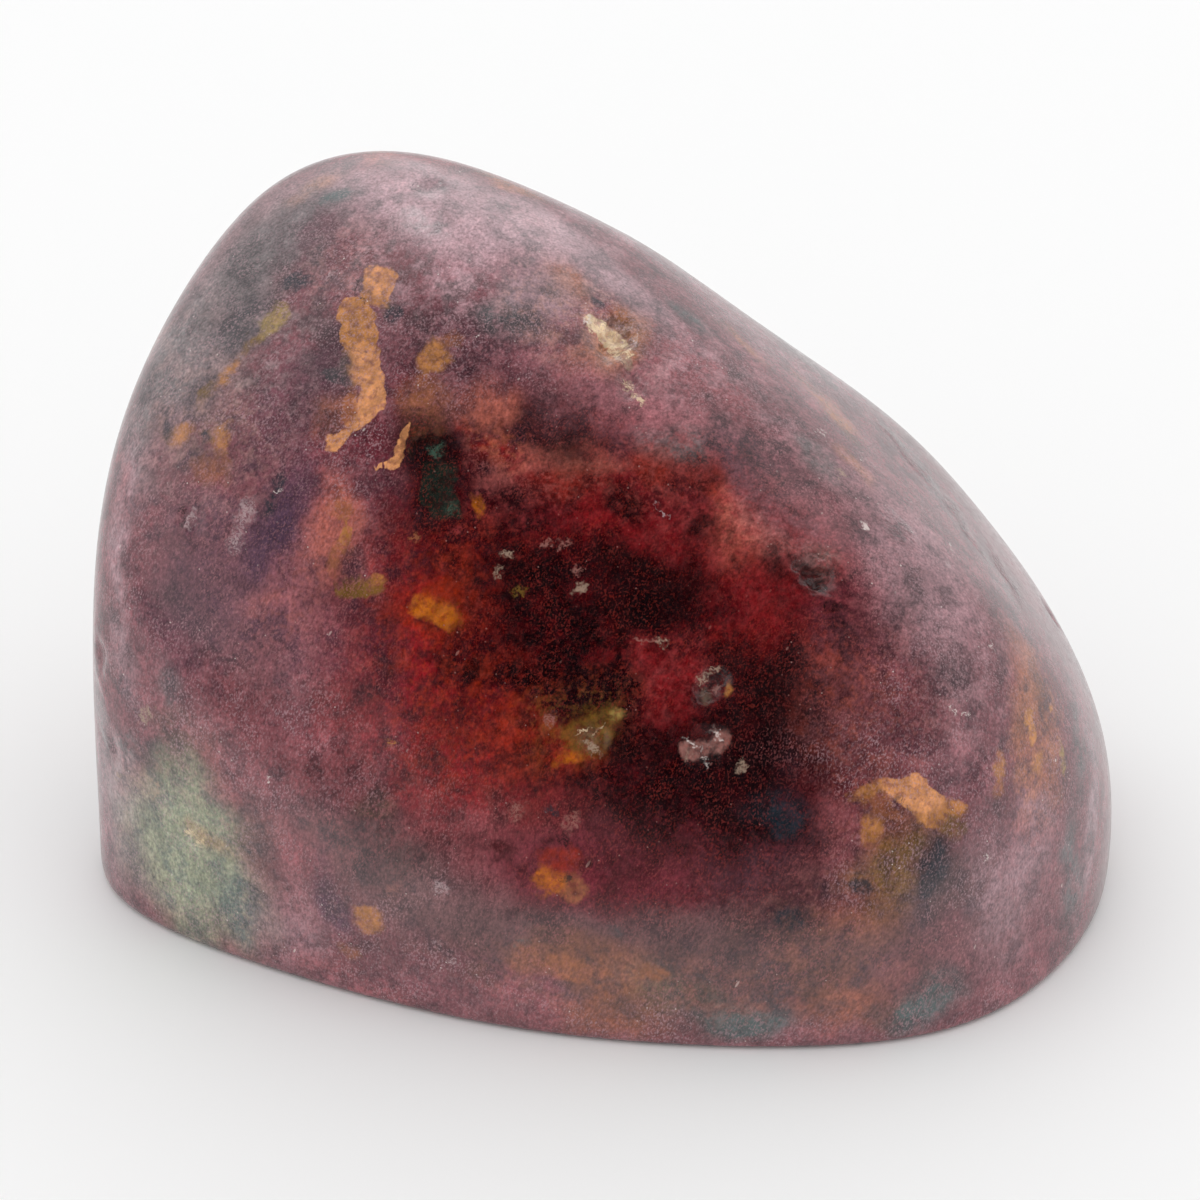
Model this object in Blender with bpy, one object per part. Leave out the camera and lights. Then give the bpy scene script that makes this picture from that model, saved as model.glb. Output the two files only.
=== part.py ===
"""A rhodonite freeform: one polished stone with a slanting back, ground flat underneath.

Metres, +Z up. The stone stands on its flat base at z = 0, with the middle of its bounding box over
the origin. Its broad polished front looks along -Y, and its crest is on the left, at -X.
"""

import math

import bmesh
import bpy
import numpy as np
from mathutils import Vector, noise

MM = 0.001

# The inner point that the ground faces and the pits are placed from, in millimetres
HEART = np.array([0.0, 0.0, 25.0])

# How tightly the ground faces meet: a higher number leaves sharper ridges between them
RIDGE_TIGHTNESS = 8.0

# The broad faces that were ground into the stone. Each faces an azimuth from +X and an elevation,
# in degrees, and lies at a distance from the heart, in millimetres.
GROUND_FACES = {
    "left_flank": (170, 5, 42.5),
    "left_foot": (-170, -10, 55.0),
    "front_left": (-120, -5, 33.5),
    "front": (-100, 25, 25.0),
    "front_middle": (-90, 35, 26.0),
    "front_foot": (-90, -5, 34.5),
    "front_right": (-45, 15, 39.5),
    "right_front_corner": (-30, -5, 47.5),
    "right_end": (10, -10, 48.0),
    "back_right": (50, -5, 43.0),
    "back": (80, 15, 23.5),
    "back_left": (130, 0, 34.0),
    "upper_left": (180, 50, 48.5),
    "crown": (150, 80, 43.5),
    "long_slope": (10, 55, 25.0),
    "lower_slope": (10, 35, 30.0),
    "upper_front_left": (-125, 45, 35.0),
    "upper_front": (-90, 55, 28.0),
    "front_slope": (-60, 50, 33.0),
    "upper_back": (80, 45, 40.0),
}

# The slow swell that hand grinding leaves in the skin, in millimetres
WAVE_HEIGHT = 0.22
WAVE_LENGTH = 17.0
WAVE_FADE_HEIGHT = 9.0  # the swell dies out below this height, so the base edge keeps its line

# Natural pits that the polish left open: azimuth and elevation of the middle, in degrees, length and
# width in millimetres, turn of the length from level, in degrees, and depth in millimetres
PITS = {
    "cream_vug": (-83, 77, 4.8, 3.8, 60, 0.9),
    "vug_trail": (-77, 68, 3.4, 2.0, 75, 0.5),
    "shoulder_pit": (-50, 25, 3.6, 2.0, -35, 0.8),
    "front_pit": (-71, 11, 3.0, 2.0, 40, 0.7),
    "front_crumbs": (-73, 2, 4.2, 2.6, 10, 0.4),
    "olive_crumbs": (-92, 1, 3.2, 2.4, 30, 0.35),
    "ringed_pit": (-159, 21, 2.6, 2.0, 60, 0.4),
    "flank_nick": (-166, -1, 3.8, 1.8, 85, 0.5),
    "low_flank_nick": (-164, -12, 3.0, 1.8, 75, 0.4),
    "crown_nick": (157, 66, 3.0, 1.8, 20, 0.4),
    "back_vug": (104, 24, 5.4, 3.4, 30, 1.0),
    "back_pit": (62, -6, 3.4, 2.2, -40, 0.7),
    "upper_back_pit": (76, 58, 3.4, 2.2, 15, 0.6),
    "end_pit": (4, -6, 3.0, 1.8, 75, 0.5),
}
PIT_RAGGEDNESS = 0.3  # how unevenly a pit's outline runs
PIT_RAG_LENGTH = 1.6

BASE_EDGE_RADIUS = 0.9

# Mesh density
CUBE_CUTS = 23  # loops across each side of the starting cube
PIT_CUTS = 2  # further loops through each mesh square around a pit
PIT_MARGIN = 2.4  # how far past a pit's edge the finer squares reach, in millimetres
BASE_EDGE_SEGMENTS = 2
SOLVE_STEPS = 40
ON_BASE = 1e-6  # a point lower than this counts as on the base

STONE_COLOUR = (0.26, 0.07, 0.10, 1.0)
STONE_ROUGHNESS = 0.22


def unit_vectors(azimuth, elevation):
    """Unit vectors at these angles, in radians, as rows."""
    level = np.cos(elevation)
    return np.stack([level * np.cos(azimuth), level * np.sin(azimuth), np.sin(elevation)], axis=-1)


def unit_rows(vectors):
    return vectors / np.linalg.norm(vectors, axis=-1, keepdims=True)


def face_nearness(directions):
    """The ground faces' normals and distances, and how squarely each direction meets each face."""
    azimuth, elevation, distance = np.array(list(GROUND_FACES.values())).T
    normals = unit_vectors(np.radians(azimuth), np.radians(elevation))
    return normals, distance, np.maximum(directions @ normals.T / distance, 0.0)


def reach_along(directions):
    """How far from the heart the skin lies along each direction."""
    nearness = face_nearness(directions)[2]
    return (nearness**RIDGE_TIGHTNESS).sum(axis=1) ** (-1.0 / RIDGE_TIGHTNESS)


def skin_normals(directions):
    """Which way the skin faces along each direction from the heart."""
    normals, distance, nearness = face_nearness(directions)
    return unit_rows((nearness ** (RIDGE_TIGHTNESS - 1) / distance) @ normals)


def base_edge_elevation(azimuth):
    """The elevation, seen from the heart, at which the skin meets the plane of the base."""
    low = np.full(len(azimuth), math.radians(-80))
    high = np.full(len(azimuth), math.radians(-5))
    for _ in range(SOLVE_STEPS):
        middle = (low + high) / 2
        directions = unit_vectors(azimuth, middle)
        above = HEART[2] + reach_along(directions) * directions[:, 2] > 0
        high = np.where(above, middle, high)
        low = np.where(above, low, middle)
    return (low + high) / 2


def form_points(cube_points):
    """Carry a cube from -1 to 1 over to the stone: its lower side to the base, the rest to the skin."""
    even = np.tan(cube_points * math.pi / 4)
    azimuth = np.arctan2(even[:, 1], even[:, 0])
    elevation = np.arctan2(even[:, 2], np.hypot(even[:, 0], even[:, 1]))
    cube_edge = -np.arctan(np.maximum(abs(np.cos(azimuth)), abs(np.sin(azimuth))))
    form_edge = base_edge_elevation(azimuth)
    height_share = np.maximum((elevation - cube_edge) / (math.pi / 2 - cube_edge), 0.0)
    directions = unit_vectors(azimuth, form_edge + height_share * (math.pi / 2 - form_edge))
    points = HEART + directions * reach_along(directions)[:, None]

    on_base = cube_points[:, 2] < -0.9999
    outward_share = np.maximum(abs(cube_points[:, 0]), abs(cube_points[:, 1]))[:, None]
    on_plane = points * outward_share
    on_plane[:, 2] = 0.0
    return np.where(on_base[:, None], on_plane, points)


def pit_frames():
    """Each pit's middle on the skin, its lengthways and crossways axes, and its sizes."""
    for azimuth, elevation, length, width, turn, depth in PITS.values():
        direction = unit_vectors(np.radians([azimuth]), np.radians([elevation]))
        middle = (HEART + direction * reach_along(direction)[:, None])[0]
        normal = skin_normals(direction)[0]
        level = unit_rows(np.cross((0.0, 0.0, 1.0), normal))
        uphill = np.cross(normal, level)
        along = level * math.cos(math.radians(turn)) + uphill * math.sin(math.radians(turn))
        yield middle, along, np.cross(normal, along), length, width, depth


def near_pits(points):
    near = np.zeros(len(points), dtype=bool)
    for middle, _, _, length, _, _ in pit_frames():
        near |= np.linalg.norm(points - middle, axis=1) < length / 2 + PIT_MARGIN
    return near


def noise_at(points, length):
    return np.array([noise.noise(Vector(point / length)) for point in points])


def pit_depths(points):
    """How far the pits sink the skin at each point: a bowl with a ragged outline for each pit."""
    rag = 1 + PIT_RAGGEDNESS * noise_at(points, PIT_RAG_LENGTH)
    depths = np.zeros(len(points))
    for middle, along, across, length, width, depth in pit_frames():
        offset = points - middle
        spread = np.hypot(offset @ along * 2 / length, offset @ across * 2 / width) * rag
        beyond = np.linalg.norm(offset, axis=1) > length
        bowl = np.clip(1 - spread**2, 0.0, 1.0) ** 0.7
        depths = np.maximum(depths, np.where(beyond, 0.0, depth * bowl))
    return depths


def finished_skin(points):
    """The points moved on to the skin, with its swell and its pits."""
    directions = unit_rows(points - HEART)
    skin = HEART + directions * reach_along(directions)[:, None]
    fade = np.clip(skin[:, 2] / WAVE_FADE_HEIGHT, 0.0, 1.0)
    swell = WAVE_HEIGHT * 2 * noise_at(skin, WAVE_LENGTH) * fade * fade * (3 - 2 * fade)
    return skin + skin_normals(directions) * (swell - pit_depths(skin))[:, None]


def coordinates(stone):
    return np.array([vert.co for vert in stone.verts])


def place_verts(stone, points):
    for vert, point in zip(stone.verts, points):
        vert.co = Vector(point)


def refine_around_pits(stone):
    near = near_pits(coordinates(stone))
    stone.verts.index_update()
    edges = [edge for edge in stone.edges if all(near[vert.index] for vert in edge.verts)]
    bmesh.ops.subdivide_edges(stone, edges=edges, cuts=PIT_CUTS, use_grid_fill=True)


def is_base_face(face):
    return all(vert.co.z < ON_BASE for vert in face.verts)


def round_base_edge(stone):
    base_edge = [edge for edge in stone.edges if sum(map(is_base_face, edge.link_faces)) == 1]
    bmesh.ops.bevel(
        stone,
        geom=base_edge,
        offset=BASE_EDGE_RADIUS,
        segments=BASE_EDGE_SEGMENTS,
        profile=0.5,
        affect="EDGES",
    )


def make_stone_mesh():
    stone = bmesh.new()
    bmesh.ops.create_cube(stone, size=2.0)
    bmesh.ops.subdivide_edges(stone, edges=stone.edges[:], cuts=CUBE_CUTS, use_grid_fill=True)
    place_verts(stone, form_points(coordinates(stone)))
    refine_around_pits(stone)

    points = coordinates(stone)
    on_skin = points[:, 2] > ON_BASE
    points[on_skin] = finished_skin(points[on_skin])
    place_verts(stone, points)
    round_base_edge(stone)

    points = coordinates(stone)
    centre = (points.min(axis=0) + points.max(axis=0)) / 2 * (1, 1, 0)
    place_verts(stone, (points - centre) * MM)
    mesh = bpy.data.meshes.new("stone")
    stone.to_mesh(mesh)
    stone.free()
    return mesh


def clear_scene():
    for obj in list(bpy.data.objects):
        bpy.data.objects.remove(obj, do_unlink=True)


def make_collection(name):
    collection = bpy.data.collections.new(name)
    bpy.context.scene.collection.children.link(collection)
    return collection


def make_material(name, colour, roughness):
    material = bpy.data.materials.new(name)
    material.use_nodes = True
    shader = material.node_tree.nodes["Principled BSDF"]
    shader.inputs["Base Color"].default_value = colour
    shader.inputs["Roughness"].default_value = roughness
    shader.inputs["Metallic"].default_value = 0.0
    return material


def main():
    clear_scene()
    collection = make_collection("rhodonite_freeform")
    stone = bpy.data.objects.new("stone", make_stone_mesh())
    collection.objects.link(stone)
    stone.data.materials.append(make_material("polished_rhodonite", STONE_COLOUR, STONE_ROUGHNESS))
    stone.data.shade_smooth()


main()
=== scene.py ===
"""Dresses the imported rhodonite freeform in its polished, mottled skin and sets it in a plain studio.

Metres, +Z up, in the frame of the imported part. The broad front of the stone looks along -Y. Marks
that the photograph shows are placed by its pixels, counted from the top left of a 1200 x 1200 image,
and measured in millimetres.
"""

import math
import random

import bpy
import numpy as np
from bpy.props import FloatProperty, FloatVectorProperty, IntProperty, PointerProperty
from mathutils import Matrix, Vector, noise
from mathutils.bvhtree import BVHTree


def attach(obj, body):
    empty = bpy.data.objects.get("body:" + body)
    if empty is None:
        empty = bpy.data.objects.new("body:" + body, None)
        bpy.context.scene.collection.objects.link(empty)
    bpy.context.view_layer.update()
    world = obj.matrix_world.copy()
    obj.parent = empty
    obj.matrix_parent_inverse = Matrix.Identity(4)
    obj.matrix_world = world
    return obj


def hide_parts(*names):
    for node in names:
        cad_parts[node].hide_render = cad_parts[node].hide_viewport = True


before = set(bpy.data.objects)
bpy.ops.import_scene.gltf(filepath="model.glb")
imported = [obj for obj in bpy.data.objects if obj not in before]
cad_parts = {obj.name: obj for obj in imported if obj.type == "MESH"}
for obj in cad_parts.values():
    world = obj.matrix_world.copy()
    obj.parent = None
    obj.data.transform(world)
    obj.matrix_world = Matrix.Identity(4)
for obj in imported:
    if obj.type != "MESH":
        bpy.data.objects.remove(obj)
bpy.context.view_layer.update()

bl_info = {
    "name": "Rhodonite Freeform",
    "version": (1, 0, 0),
    "blender": (4, 5, 0),
    "location": "3D View > Sidebar > Rhodonite",
    "description": "Builds a polished rhodonite freeform and a plain studio around it",
    "category": "Object",
}

MM = 0.001
STONE_NODE = "stone"
PHOTO_SIZE = 1200
PHOTO_CENTRE = PHOTO_SIZE / 2

# Broad soft clouds of colour, painted in this order: the pixel of the middle, length and width in
# millimetres, turn of the length from level in degrees, pigment, and how much of it there is
CLOUDS = {
    # the dark heart of the front
    "heart_wine": (612, 640, 37, 32, 20, "wine", 0.97),
    "heart_low_wine": (700, 800, 26, 11, -10, "wine", 0.9),
    "heart_left_crimson": (440, 690, 9, 22, 0, "crimson", 0.75),
    "heart_low_crimson": (480, 770, 13, 9, -20, "crimson", 0.85),
    "heart_top_crimson": (600, 495, 13, 7, -20, "crimson", 0.7),
    "heart_right_crimson": (735, 560, 8, 6, -30, "crimson", 0.7),
    "heart_pit_crimson": (676, 690, 5, 8, 20, "crimson", 0.8),
    "red_column": (424, 665, 4, 11, 0, "crimson", 0.9),
    "ember_halo": (452, 606, 9, 5, -15, "ember", 0.9),
    "ember_column": (470, 640, 3, 9, 5, "ember", 0.35),
    "low_ember": (545, 735, 11, 5, 0, "ember", 0.5),
    "right_umber": (800, 680, 12, 8, -40, "dark_umber", 0.6),
    "right_lower_umber": (840, 740, 10, 6, -20, "dark_umber", 0.5),
    "heart_black": (545, 595, 11, 9, -10, "ink", 0.92),
    "heart_black_middle": (545, 655, 12, 7, 10, "ink", 0.8),
    "heart_black_right": (662, 605, 6.5, 6, 20, "ink", 0.98),
    "heart_black_bar": (638, 568, 5.5, 2.4, 10, "ink", 0.9),
    "heart_black_top": (625, 506, 4, 2.6, 0, "ink", 0.75),
    "heart_plum_low": (590, 690, 11, 5, -15, "ink", 0.7),
    "heart_black_low": (655, 755, 8, 6, 0, "ink", 0.9),
    "heart_black_far": (775, 640, 6, 6, 0, "ink", 0.75),
    "heart_black_foot": (745, 770, 12, 8, 0, "ink", 0.92),
    "dark_under_crumbs": (665, 808, 13, 6, 0, "ink", 0.8),
    "blue_dark_right": (784, 822, 5.5, 4.5, -20, "blue_black", 0.95),
    "blue_dark_right_low": (765, 850, 8, 5, 0, "ink", 0.65),
    "salmon_glow": (478, 434, 4.0, 4.2, 0, "ember", 0.85),
    "salmon_glow_low": (500, 448, 5, 2.5, -30, "crimson", 0.7),
    "dark_plum_top": (535, 415, 9, 6, -25, "ink", 0.85),
    "dark_plum_left": (500, 395, 6, 4, -30, "wine", 0.75),
    "pink_band": (577, 466, 8, 2.4, -8, "salmon", 0.5),
    "rust_dots": (560, 490, 7, 3, -10, "ember", 0.4),
    "rust_right_top": (650, 462, 4, 3, -20, "ember", 0.5),
    "salmon_right": (742, 520, 6.5, 4, -35, "salmon", 0.5),
    "rust_right": (715, 487, 5, 3, -30, "ember", 0.45),
    # the crown and the upper left
    "crown_lilac": (440, 200, 24, 9, -18, "lilac", 0.8),
    "crown_ochre": (316, 184, 6, 2.0, 20, "ochre", 0.45),
    "crown_right_ochre": (500, 180, 5, 2.2, -25, "ochre", 0.45),
    "crown_teal": (336, 194, 4, 2.2, 10, "teal", 0.7),
    "upper_left_slate": (212, 305, 22, 9, 56, "slate", 0.8),
    "left_edge_slate": (150, 395, 18, 5, 66, "slate", 0.7),
    "crown_plum": (325, 222, 7, 5, 20, "plum", 0.45),
    "crown_plum_low": (318, 262, 6, 5, 40, "plum", 0.5),
    "crown_plum_right": (372, 262, 5, 5, 0, "umber", 0.35),
    "plum_left_of_vein": (328, 356, 4.6, 4.5, 0, "dark_plum", 0.9),
    "plum_round_vein": (400, 345, 6, 9, 10, "plum", 0.3),
    "plum_left_streak": (243, 325, 2.6, 8, -30, "blue_black", 0.5),
    "purple_field": (290, 420, 10, 9, 30, "violet", 0.3),
    "purple_field_right": (328, 395, 6, 6, 0, "plum", 0.3),
    "plum_under_vein": (372, 442, 7, 5, 20, "wine_rose", 0.75),
    "magenta_under_vein": (360, 485, 9, 5, 20, "magenta", 0.7),
    "crimson_by_vein": (400, 385, 3, 7, 0, "wine_rose", 0.7),
    "rust_by_vein_foot": (343, 418, 2.6, 5, -25, "rust", 0.5),
    # the long slope
    "slope_plum": (470, 345, 9, 8, -25, "dark_plum", 0.75),
    "slope_grey": (560, 390, 8, 4, -25, "plum", 0.3),
    "slope_slate_high": (500, 310, 6, 3.4, -20, "teal", 0.7),
    "slope_teal_far": (682, 313, 4, 2.2, -35, "teal", 0.8),
    "slope_lilac": (600, 262, 14, 4, -33, "lilac", 0.55),
    "slope_rose_middle": (705, 372, 12, 5, -35, "rose", 0.6),
    "slope_lilac_middle": (640, 300, 8, 4, -35, "lilac", 0.3),
    "slope_rust": (567, 282, 3.5, 3.5, -50, "rust", 0.8),
    "slope_red": (577, 372, 3.4, 2.4, 0, "rose", 0.7),
    "vug_ochre": (614, 345, 5, 7, -55, "ochre", 0.7),
    "slope_olive": (676, 436, 6, 3.5, -15, "slate", 0.6),
    "slope_blue": (722, 440, 4, 3, -30, "dark_plum", 0.6),
    "slope_slate": (748, 468, 7, 3.4, -40, "plum", 0.7),
    "slope_dark": (782, 490, 5, 5, -40, "dark_plum", 0.8),
    "slope_dark_low": (803, 530, 3.4, 3, 0, "dark_plum", 0.6),
    "slope_teal_low": (815, 452, 6, 3, -35, "slate", 0.7),
    "slope_ochre": (834, 410, 7, 3.2, -38, "ochre", 0.5),
    "slope_edge_slate": (790, 345, 20, 3, -33, "slate", 0.6),
    "slope_edge_ochre": (745, 345, 5, 2, -33, "ochre", 0.35),
    "shoulder_slate": (930, 480, 14, 4.5, -48, "slate", 0.7),
    "shoulder_slate_low": (1005, 590, 12, 3.5, -60, "slate", 0.6),
    "shoulder_ochre": (855, 463, 4, 2.4, -45, "ochre", 0.35),
    "shoulder_lilac": (930, 560, 16, 9, -52, "lilac", 0.35),
    "shoulder_pit_dark": (808, 574, 4.5, 3, -40, "olive_grey", 0.75),
    "shoulder_violet": (795, 582, 3, 4, -30, "wine", 0.7),
    # the left of the front
    "left_violet_band": (280, 536, 4.2, 10, -30, "violet", 0.97),
    "left_grey": (210, 592, 12, 9, 70, "plum", 0.85),
    "left_dark_spot": (216, 630, 3.4, 2.6, 0, "dark_plum", 0.7),
    "left_dark_top": (176, 512, 3, 5, -20, "plum", 0.6),
    "left_grey_spot": (162, 612, 3, 4, 0, "plum", 0.5),
    "left_rose_band": (300, 585, 14, 4.5, 48, "rose", 0.6),
    "left_salmon": (336, 535, 4, 8, 0, "salmon", 0.6),
    "left_rose_low": (232, 690, 9, 6, 60, "rose", 0.4),
    "left_rim_lilac": (116, 560, 18, 2.6, 88, "lilac", 0.6),
    "left_rim_rose": (112, 480, 8, 2.6, 80, "rose", 0.5),
    "left_rim_slate": (98, 700, 12, 2.0, 90, "slate", 0.7),
    "plum_left_of_heart": (345, 650, 6, 7, 0, "wine_rose", 0.6),
    "wine_left_of_heart": (372, 690, 5, 10, 0, "wine_rose", 0.85),
    "left_stripe_blue": (126, 697, 1.8, 4, 0, "blue_black", 0.6),
    "left_stripe_blue_low": (124, 744, 3, 3, 0, "teal", 0.8),
    "left_stripe_dark": (171, 690, 1.6, 5, 0, "teal", 0.6),
    "left_blue_by_crumbs": (154, 747, 3.4, 2, 10, "blue_black", 0.7),
    "left_olive": (185, 738, 7, 5, 0, "olive_grey", 0.6),
    "left_mauve_column": (238, 770, 5, 10, 10, "rose", 0.5),
    # the lower left
    "foot_bone": (122, 810, 6, 14, 8, "pale_slate", 0.85),
    "foot_moss": (190, 865, 13, 15, -25, "moss", 0.95),
    "foot_moss_top": (180, 795, 8, 7, -20, "moss", 0.85),
    "foot_teal": (236, 905, 5, 7, -20, "teal", 0.75),
    "foot_teal_left": (190, 935, 6, 3.4, -30, "moss", 0.85),
    "foot_teal_dark": (250, 896, 2.4, 3, 0, "blue_black", 0.5),
    "foot_yellow": (205, 838, 4, 2.4, -20, "ochre", 0.4),
    "foot_lilac": (292, 925, 7, 9, -10, "lilac", 0.35),
    "low_left_rose": (285, 850, 8, 9, -20, "rose", 0.6),
    "low_left_dark": (365, 835, 13, 6, -8, "umber", 0.85),
    "low_left_dark_spot": (376, 806, 4, 2.4, 0, "olive_grey", 0.7),
    "low_left_violet": (322, 905, 1.8, 6, 10, "violet", 0.6),
    "low_left_violet_right": (342, 912, 1.6, 5, 5, "violet", 0.6),
    "low_plum": (405, 905, 12, 7, -10, "mauve_grey", 0.6),
    "low_grey": (505, 935, 12, 6, -5, "mauve_grey", 0.8),
    "low_rose_edge": (370, 985, 16, 3, -14, "rose", 0.8),
    "low_rose_middle": (480, 855, 9, 5, 0, "rose", 0.5),
    "low_crimson": (640, 885, 18, 6, -5, "wine_rose", 0.9),
    "low_crimson_left": (540, 845, 8, 4, -5, "wine_rose", 0.6),
    # the foot and the lower right
    "foot_rust_left": (566, 962, 6, 3.4, 0, "rust", 0.8),
    "foot_rust_middle": (632, 975, 8, 5, -10, "rust", 0.8),
    "foot_rust_low": (608, 1018, 9, 4, -5, "rust", 0.6),
    "foot_rose_left": (520, 1005, 8, 4, -10, "rose", 0.6),
    "foot_olive_left": (680, 985, 8, 5, -5, "olive_grey", 0.8),
    "foot_teal_middle": (738, 1026, 9, 3.4, 0, "teal", 0.95),
    "foot_umber": (700, 1000, 12, 6, 0, "olive_grey", 0.5),
    "foot_green_dark": (790, 920, 5, 4, 0, "blue_black", 0.85),
    "foot_grey_right": (760, 965, 14, 6, -3, "mauve_grey", 0.8),
    "foot_rust_right": (835, 955, 6, 7, -20, "rust", 0.5),
    "foot_rust_far": (842, 1008, 9, 5, 5, "rust", 0.55),
    "foot_teal_right": (922, 1008, 7, 4, 8, "teal", 0.9),
    "olive_right": (898, 878, 4.5, 8, -15, "olive", 0.85),
    "rust_right_low": (870, 930, 6, 5, 0, "rust", 0.5),
    "teal_right": (932, 880, 4, 6, 20, "blue_black", 0.8),
    "teal_right_low": (925, 918, 4, 4, 0, "dark_plum", 0.6),
    "rose_right_low": (1000, 900, 6, 12, 15, "lilac", 0.45),
    "plum_right": (930, 765, 12, 5, -30, "plum", 0.5),
    "blue_right": (955, 680, 5, 4.5, 0, "dark_plum", 0.7),
    "violet_right": (890, 715, 12, 8, -40, "rose", 0.4),
    "dark_wine_right": (840, 800, 9, 6, -20, "wine", 0.5),
    "rust_edge": (1032, 690, 4, 9, 5, "rust", 0.75),
    "rust_edge_low": (1045, 760, 4, 8, 5, "rust", 0.5),
    "teal_edge": (1079, 735, 2.6, 8, 10, "teal", 0.8),
    "teal_edge_low": (1073, 872, 4.5, 10, 6, "teal", 0.75),
    "bone_edge": (1095, 800, 2.6, 14, 0, "lilac", 0.7),
    "rose_edge_right": (1030, 850, 5, 10, 5, "lilac", 0.4),
    "green_black_blob": (436, 470, 5.0, 10, 0, "ink", 0.98),
    "heart_left_top": (418, 548, 6, 10, 0, "crimson", 0.8),
    "heart_left_wine": (452, 535, 5, 8, 0, "wine", 0.75),
    "heart_black_far_low": (765, 705, 7, 8, 0, "ink", 0.85),
    "low_right_dark": (768, 880, 8, 6, 0, "dark_plum", 0.8),
    "green_black_blob_top": (434, 450, 4.4, 5.0, 0, "ink", 0.98),
    "green_black_blob_low": (442, 492, 4.2, 5.0, 0, "ink", 0.98),
    "heart_black_upper_left": (520, 520, 7, 6, 10, "wine", 0.85),
    "heart_black_column": (600, 660, 6, 9, 0, "ink", 0.6),
    "crown_shadow": (285, 238, 11, 6, 45, "dark_slate", 0.55),
    "slope_pale": (590, 385, 8, 6, -30, "dusk_rose", 0.6),
    "slope_pale_right": (655, 405, 8, 6, -30, "dusk_rose", 0.7),
    "heart_shoulder_rose": (775, 520, 9, 6, -40, "dusk_rose", 0.7),
    "heart_shoulder_red": (745, 535, 7, 5, -35, "salmon", 0.5),
    "low_shade": (720, 950, 34, 6, -2, "umber", 0.75),
    "left_low_salmon": (255, 850, 5, 8, -20, "mauve_grey", 0.6),
    "glow_salmon": (478, 414, 5, 4, 0, "salmon", 0.75),
    "rust_by_branch": (425, 400, 4, 5, 0, "rust", 0.5),
    "heart_right_rust": (775, 600, 6, 7, -30, "crimson", 0.6),
    "heart_left_black": (480, 668, 5, 6, -20, "wine", 0.85),
    "heart_left_low_wine": (484, 712, 6, 4, 0, "wine", 0.6),
    "low_left_rose_top": (310, 775, 10, 5, 0, "rose", 0.75),
    "rose_left_of_heart": (350, 712, 5, 7, 0, "rose_red", 0.55),
    "rose_under_vein": (345, 475, 6, 5, 20, "rose", 0.5),
    "salmon_left": (330, 535, 4, 7, 0, "salmon", 0.5),
    "band_left": (290, 600, 12, 4, 48, "dusk_rose", 0.45),
    "right_rose_low": (840, 835, 5, 5, 0, "rose", 0.6),
    "right_low_umber": (930, 895, 8, 7, 0, "umber", 0.6),
    "heart_top_left_wine": (470, 488, 6, 7, 0, "wine", 0.85),
    "heart_left_top_dark": (405, 530, 5, 6, 0, "wine", 0.5),
    "low_crimson_again": (600, 890, 12, 4, -3, "wine_rose", 0.6),
    "foot_rust_return": (592, 962, 9, 4, 0, "rust", 0.5),
    "heart_edge_rose": (835, 600, 5, 6, -30, "wine_rose", 0.6),
    "slope_lilac_left": (540, 292, 5, 4, -25, "lilac", 0.6),
    "left_dark_low": (240, 610, 6, 9, 50, "plum", 0.5),
    "left_dark_high": (232, 400, 6, 6, 50, "mauve_grey", 0.5),
    "heart_left_column": (478, 640, 4.5, 8, -5, "wine", 0.75),
    "heart_left_black_high": (476, 530, 5, 6, 0, "wine", 0.7),
    "heart_right_wine": (715, 605, 5, 5, 0, "wine", 0.5),
    "low_shade_right": (735, 955, 20, 6, -2, "dark_umber", 0.4),
    "low_shade_foot": (720, 1012, 10, 3.4, 0, "dark_slate", 0.35),
    "low_left_shade": (395, 888, 8, 6, -10, "umber", 0.6),
    "low_right_shade": (800, 895, 9, 4, 0, "dark_umber", 0.45),
    "salmon_left_top": (345, 520, 3.5, 6, 0, "salmon", 0.5),
    "slope_salmon": (585, 320, 4, 5, -50, "dusk_rose", 0.5),
    "crown_lilac_again": (420, 175, 9, 3, -10, "lilac", 0.4),
}

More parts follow.
